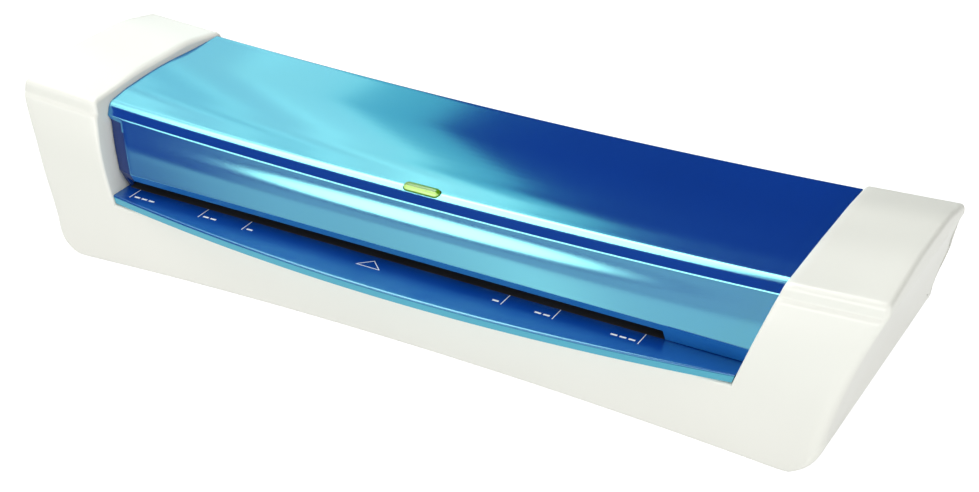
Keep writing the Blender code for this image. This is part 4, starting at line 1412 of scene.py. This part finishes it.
@dataclass
class RearCover:
    """White back of the casing with the exit slot and cooling slots."""

    wall: float = 1.4
    flange: float = 2.9
    columns: int = 60
    exit_x: tuple[float, float] = (-129.3, 100.0)
    exit_z: tuple[float, float] = (34.4, 40.6)
    vents: int = 11
    vent_pitch: float = 9.0
    vent_half: float = 1.3
    gland_at: tuple[float, float, float] = (144.0, 60.0, 15.5)
    gland_hole: float = 4.6
    rim: float = 1.8
    rim_under: float = 0.6
    flange_step: float = 1.4
    flange_end: float = 3.1
    web_depths: tuple[float, float] = (1.5, 2.5)
    web: tuple[tuple[float, float], ...] = (
        (40.0, 56.0), (48.0, 50.5), (64.6, 34.5), (65.2, 31.5), (61.2, 24.0), (61.2, 6.0),
        (40.0, 6.0))
    corners: tuple[Corner, ...] = (
        Corner(33.3, 65.35), Corner(52.6, 51.4, 60.0, 10), Corner(68.9, 33.2, 5.0, 8),
        Corner(63.0, 23.1, 10.0, 6), Corner(62.6, 2.8, 11.0, 8), Corner(49.7, 2.8))

    def build(self) -> bpy.types.Object:
        """Build the skin with its end flanges, its wall and its openings.

        Returns:
            The rear cover.
        """
        path = rounded_path(self.corners, 3.0)
        sheet = Sheet()
        rows = []

        def ring(side: float, spots: list[tuple[float, float, float]]) -> list[int]:
            """Add one row at an end."""
            return sheet.row([FORM.place(side * x, y, z) for x, y, z in spots])

        def rounded(tilt: float, deep: float,
                    step: float = 0.0) -> list[tuple[float, float, float]]:
            """Points of the end's rounding, or of its flange further in.

            Args:
                tilt: How far round the rounding, in radians.
                deep: How far the row lies below the skin.
                step: How far the row stands back from the end face.

            Returns:
                The points, for the right end.
            """
            spots = []
            for p in path:
                radius = self.rim if p.nz > -0.5 else self.rim_under
                inset = radius * (1.0 - math.cos(tilt)) + deep
                y, z = p.y - p.ny * inset, p.z - p.nz * inset
                spots.append((FORM.end_x(z) - radius * (1.0 - math.sin(tilt)) - step, y, z))
            return spots

        ends = [rounded(math.radians(22.5 * k), 0.0) for k in range(5)]
        deep = self.flange - self.rim
        ends.append(rounded(math.pi / 2, deep))
        ends.append(rounded(math.pi / 2, deep + 0.2, self.flange_step))
        ends.append(rounded(math.pi / 2, self.flange_end, self.flange_step))
        rows += [ring(-1.0, spots) for spots in reversed(ends)]
        for k in range(1, self.columns):
            s = 2.0 * k / self.columns - 1.0
            rows.append(sheet.row([FORM.place(s * x, y, z) for x, y, z in ends[0]]))
        rows += [ring(1.0, spots) for spots in ends]
        sheet.loft(rows)
        rear = sheet.to_object("rear_shell", Vector((0.0, 1.0, 0.5)))
        thicken(rear, self.wall)
        subtract(rear, self.tools())
        return rear

    def end_web(self, side: float) -> bpy.types.Object:
        """Web behind the seam between the rear cover and one end face.

        Args:
            side: 1 for the right end, -1 for the left.

        Returns:
            The web, a closed plate that leans with the end face.
        """
        sheet = Sheet()
        rings = [sheet.row([(side * (FORM.end_x(z) - deep), y, z) for y, z in self.web])
                 for deep in self.web_depths]
        sheet.loft(rings, closed=True)
        sheet.cap(rings[0], rings[1])
        return sheet.to_object(f"end_web_{'right' if side > 0 else 'left'}")

    def tools(self) -> bpy.types.Object:
        """Make all cutters of the rear cover.

        Returns:
            The exit slot, the cooling slots and the gland hole in one object.
        """
        bm = bmesh.new()

        def block(low: tuple[float, float, float], high: tuple[float, float, float]) -> None:
            """Add one box to the cutters.

            Args:
                low: Its lowest corner.
                high: Its highest corner.
            """
            made = bmesh.ops.create_cube(bm, size=1.0)
            for v in made["verts"]:
                v.co = [(a if c < 0 else b) * MM for c, a, b in zip(v.co, low, high)]

        block((self.exit_x[0], 50.0, self.exit_z[0]), (self.exit_x[1], 90.0, self.exit_z[1]))
        for i in range(self.vents):
            x = (i - (self.vents - 1) / 2) * self.vent_pitch
            block((x - self.vent_half, 40.0, 46.0), (x + self.vent_half, 62.0, 55.0))
        radius = self.gland_hole * MM
        made = bmesh.ops.create_cone(bm, cap_ends=True, segments=40, radius1=radius,
                                     radius2=radius, depth=26.0 * MM)
        gland_x, _, gland_z = self.gland_at
        for v in made["verts"]:
            v.co = (v.co.x + gland_x * MM, v.co.z + 67.0 * MM, -v.co.y + gland_z * MM)
        bmesh.ops.recalc_face_normals(bm, faces=bm.faces)
        mesh = bpy.data.meshes.new("rear_tools")
        bm.to_mesh(mesh)
        bm.free()
        return finish_mesh("rear_tools", mesh)

    def dress(self, book: FinishBook) -> None:
        """Build and dress the rear cover, its end webs and the cable gland.

        Args:
            book: The finishes.
        """
        place_piece(self.build(), book["casing_white"], ["rear_cover"])
        for side in (-1.0, 1.0):
            place_piece(self.end_web(side), book["casing_white"])
        profile = [(2.9, 0.0), (4.2, 0.0), (4.2, 3.4), (6.6, 3.4), (6.55, 4.4), (5.7, 4.9),
                   (5.7, 5.4), (6.1, 5.7), (6.0, 6.2), (5.3, 6.6), (5.2, 7.0), (4.6, 7.2),
                   (2.9, 7.2), (2.9, 0.0)]
        gland = lathe("gland_ring", profile, Vector(self.gland_at), Vector((0, 1, 0)))
        place_piece(gland, book["gland_rubber"], ["cable_gland"])


@dataclass
class Underside:
    """Feet and screws under the base plate."""

    feet: tuple[tuple[float, float], ...] = ((-128, -30), (-128, 40), (128, -30), (128, 40))
    screws: tuple[tuple[float, float], ...] = (
        (-140.5, -24), (-140.5, 24), (100.5, -24), (100.5, 24))

    def dress(self, book: FinishBook) -> None:
        """Build and dress the feet and screws.

        Args:
            book: The finishes.
        """
        foot = [(0.0, 2.45), (6.7, 2.45), (7.0, 2.2), (6.9, 1.4), (6.4, 0.25), (6.1, 0.0),
                (4.6, 0.0), (4.4, 0.25), (0.0, 0.25)]
        for i, (x, y) in enumerate(self.feet):
            obj = lathe(f"foot_pad_{i + 1}", foot, Vector((x, y, 0.0)), Vector((0, 0, 1)))
            place_piece(obj, book["foot_rubber"], [f"foot_{i + 1}"])
        screw = [(0.0, 7.4), (1.35, 7.0), (1.35, 2.45), (2.9, 2.45), (2.95, 2.0), (2.6, 1.3),
                 (1.9, 0.95), (1.3, 0.9), (1.1, 1.1), (1.05, 1.9), (0.0, 2.0)]
        for i, (x, y) in enumerate(self.screws):
            obj = lathe(f"screw_head_{i + 1}", screw, Vector((x, y, 0.0)), Vector((0, 0, 1)),
                        32)
            place_piece(obj, book["screw_zinc"], [f"base_screw_{i + 1}"])


class CarriedNodes:
    """CAD nodes that stay as they are and get their finish here."""

    FINISHES: dict[str, str] = {
        "base_plate": "casing_white", "exit_guide": "guide_grey", "frame_": "frame_steel",
        "tie_rod": "shaft_steel", "bracket_spacer": "shaft_steel",
        "motor_bracket": "frame_steel", "drive_motor": "frame_steel",
        "motor_shaft": "shaft_steel", "motor_pinion": "gear_nylon",
        "idler_pin": "shaft_steel", "idler_gear": "gear_nylon",
        "nip_spring": "shaft_steel", "heater_plate": "heater_aluminium",
        "heater_": "mica_sheet", "control_board": "solder_mask",
        "switch_board": "solder_mask", "ready_lamp": "lamp_clear",
        "thermal_fuse": "bush_bronze", "terminal_block": "guide_grey",
        "_bush_": "bush_bronze", "_roller_gear": "gear_nylon",
        "_roller_shaft": "shaft_steel", "_roller_sleeve": "roller_silicone",
    }

    def finish_for(self, node: str) -> str:
        """Find a node's finish.

        Args:
            node: Name of the CAD node.

        Returns:
            Name of its material.
        """
        for part, finish in self.FINISHES.items():
            if part in node:
                return finish
        return "component_dark"

    def dress(self, book: FinishBook) -> None:
        """Assign a material to every CAD node.

        Args:
            book: The finishes.
        """
        for name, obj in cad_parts.items():
            material = book[self.finish_for(name)]
            if obj.material_slots:
                for slot in obj.material_slots:
                    slot.material = material
            else:
                obj.data.materials.append(material)
            LOG.info("%s gets %s", name, material.name)


# ------------------------------------------------------------------ studio
@dataclass(frozen=True)
class SoftLight:
    """A rectangular light that looks at the object, in metres."""

    name: str
    at: tuple[float, float, float]
    size: tuple[float, float]
    radiance: float
    colour: Colour = (1.0, 1.0, 1.0)

    def build(self, aim: Vector) -> None:
        """Add the light.

        Args:
            aim: Where it looks.
        """
        data = bpy.data.lights.new(self.name, "AREA")
        data.shape = "RECTANGLE"
        data.size, data.size_y = self.size
        data.energy = self.radiance * math.pi * self.size[0] * self.size[1]
        data.color = self.colour
        lamp = bpy.data.objects.new(self.name, data)
        lamp.location = self.at
        lamp.rotation_euler = (aim - lamp.location).to_track_quat("-Z", "Y").to_euler()
        bpy.context.scene.collection.objects.link(lamp)


@dataclass
class Studio:
    """Pale floor, soft lights and the camera, in metres.

    The camera sees the floor as plain white. Everything else sees it glow from left to right,
    by how far round the glow's pivot a place lies, and evenly grey in front of the object.
    """

    camera_at: tuple[float, float, float] = (0.3128, -0.5511, 0.3790)
    camera_turn: tuple[float, float] = (60.49, 29.11)
    focal: float = 69.13
    aim: tuple[float, float, float] = (0.0, 0.0, 0.04)
    lights: tuple[SoftLight, ...] = (
        SoftLight("overhead", (-0.57, 0.1, 1.3), (1.46, 0.52), 5.5),
        SoftLight("front_low", (-0.3, -1.57, 0.16), (1.4, 0.25), 0.7),
        SoftLight("front_high", (-0.3, -1.47, 0.64), (1.6, 0.5), 5.6),
        SoftLight("right_fill", (1.35, -0.35, 0.55), (1.2, 1.0), 3.0),
        SoftLight("left_window", (-1.27, 0.40, 0.88), (0.9, 1.7), 1.9))
    window_distance: float = 1.5
    window_height: float = 1.7
    window_tilt: float = 34.0
    window_start: float = 30.0
    pane_width: float = 4.0
    window_panes: tuple[tuple[float, float], ...] = (
        (1.0, 0.45), (1.8, 0.9), (1.45, 0.9), (1.3, 0.8), (1.3, 0.9), (1.5, 0.9))
    world_colour: Colour = (0.95, 0.97, 1.0)
    world_strength: float = 0.03
    floor_size: float = 6.0
    glow_pivot: tuple[float, float] = (0.3128, 0.455)
    glow_slopes: tuple[float, float] = (0.85, 0.35)
    floor_glow: tuple[tuple[float, float], ...] = (
        (0.0, 0.02), (0.10, 0.05), (0.204, 0.28), (0.315, 0.41), (0.46, 0.44),
        (0.60, 0.55), (0.733, 0.80), (0.855, 0.50), (1.0, 0.44))
    near_field: tuple[float, float] = (-0.14, -0.18)
    near_glow: Colour = (0.32, 0.32, 0.32)

    def glow(self, kit: MaterialKit) -> bpy.types.NodeSocket:
        """Colour of the light that the floor gives to the object.

        Args:
            kit: The floor's material.

        Returns:
            The colour socket.
        """
        split = kit.add("ShaderNodeSeparateXYZ")
        kit.link(kit.add("ShaderNodeTexCoord").outputs["Object"], split.inputs["Vector"])
        slope = kit.add("ShaderNodeMath", operation="DIVIDE")
        for axis, start, socket in zip("XY", self.glow_pivot, slope.inputs):
            leg = kit.add("ShaderNodeMath", operation="SUBTRACT")
            leg.inputs[0].default_value = start
            kit.link(split.outputs[axis], leg.inputs[1])
            kit.link(leg.outputs[0], socket)
        glow = kit.add("ShaderNodeValToRGB")
        elements = glow.color_ramp.elements
        for position, _ in self.floor_glow[1:-1]:
            elements.new(position)
        for element, (position, level) in zip(elements, self.floor_glow):
            element.position = position
            element.color = (0.92 * level, level, level, 1.0)
        kit.link(kit.remap(slope.outputs[0], self.glow_slopes), glow.inputs["Fac"])
        spread = kit.add("ShaderNodeMix", data_type="RGBA")
        spread.inputs["A"].default_value = (*self.near_glow, 1.0)
        kit.link(kit.remap(split.outputs["Y"], self.near_field), spread.inputs["Factor"])
        kit.link(glow.outputs["Color"], spread.inputs["B"])
        return spread.outputs["Result"]

    def floor(self) -> None:
        """Lay the floor."""
        bpy.ops.mesh.primitive_plane_add(size=self.floor_size)
        floor = bpy.context.object
        floor.name = "studio_floor"
        kit = MaterialKit("floor_pale")
        path = kit.add("ShaderNodeLightPath")
        seen = kit.over(path.outputs["Is Camera Ray"], self.glow(kit), (0.5, 0.5, 0.5))
        kit.feed("Emission Color", seen)
        kit.settle(Base_Color=(0.2, 0.2, 0.2, 1.0), Roughness=0.9,
                   Specular_IOR_Level=0.0, Emission_Strength=2.0)
        floor.data.materials.append(kit.material)

    def windows(self, aim: Vector) -> None:
        """Add the window's panes, side by side round the object.

        Args:
            aim: What they look at.
        """
        half = math.radians(self.pane_width) / 2
        width = 2.0 * self.window_distance * math.tan(half)
        tilt = math.radians(self.window_tilt)
        for i, (radiance, red) in enumerate(self.window_panes):
            turn = math.radians(self.window_start + self.pane_width * (i + 0.5))
            way = Vector((-math.sin(turn) * math.cos(tilt), math.cos(turn) * math.cos(tilt),
                          math.sin(tilt)))
            SoftLight(f"window_{i}", tuple(aim + self.window_distance * way),
                      (width, self.window_height), radiance, (red, 1.0, 1.0)).build(aim)

    def camera(self) -> None:
        """Set the camera."""
        data = bpy.data.cameras.new("view")
        data.lens = self.focal
        data.sensor_width = 36.0
        camera = bpy.data.objects.new("view", data)
        camera.location = self.camera_at
        pitch, heading = self.camera_turn
        camera.rotation_euler = (math.radians(pitch), 0.0, math.radians(heading))
        bpy.context.scene.collection.objects.link(camera)
        bpy.context.scene.camera = camera

    def build(self) -> None:
        """Set the floor, world, lights and camera."""
        self.floor()
        world = bpy.data.worlds.new("studio")
        world.use_nodes = True
        backdrop = world.node_tree.nodes["Background"]
        backdrop.inputs["Color"].default_value = (*self.world_colour, 1.0)
        backdrop.inputs["Strength"].default_value = self.world_strength
        bpy.context.scene.world = world
        bpy.context.scene.view_settings.view_transform = "Standard"
        aim = Vector(self.aim)
        for light in self.lights:
            light.build(aim)
        self.windows(aim)
        self.camera()


def main() -> None:
    """Build the studio, the finishes and every piece in order."""
    logging.basicConfig(level=logging.INFO, format="%(message)s")
    Studio().build()
    book = FinishBook(Groups())
    CarriedNodes().dress(book)
    for part in (Housing(), TopCover(), FeedTray(), PowerButton(), RearCover(), Underside()):
        part.dress(book)


if __name__ == "__main__":
    main()
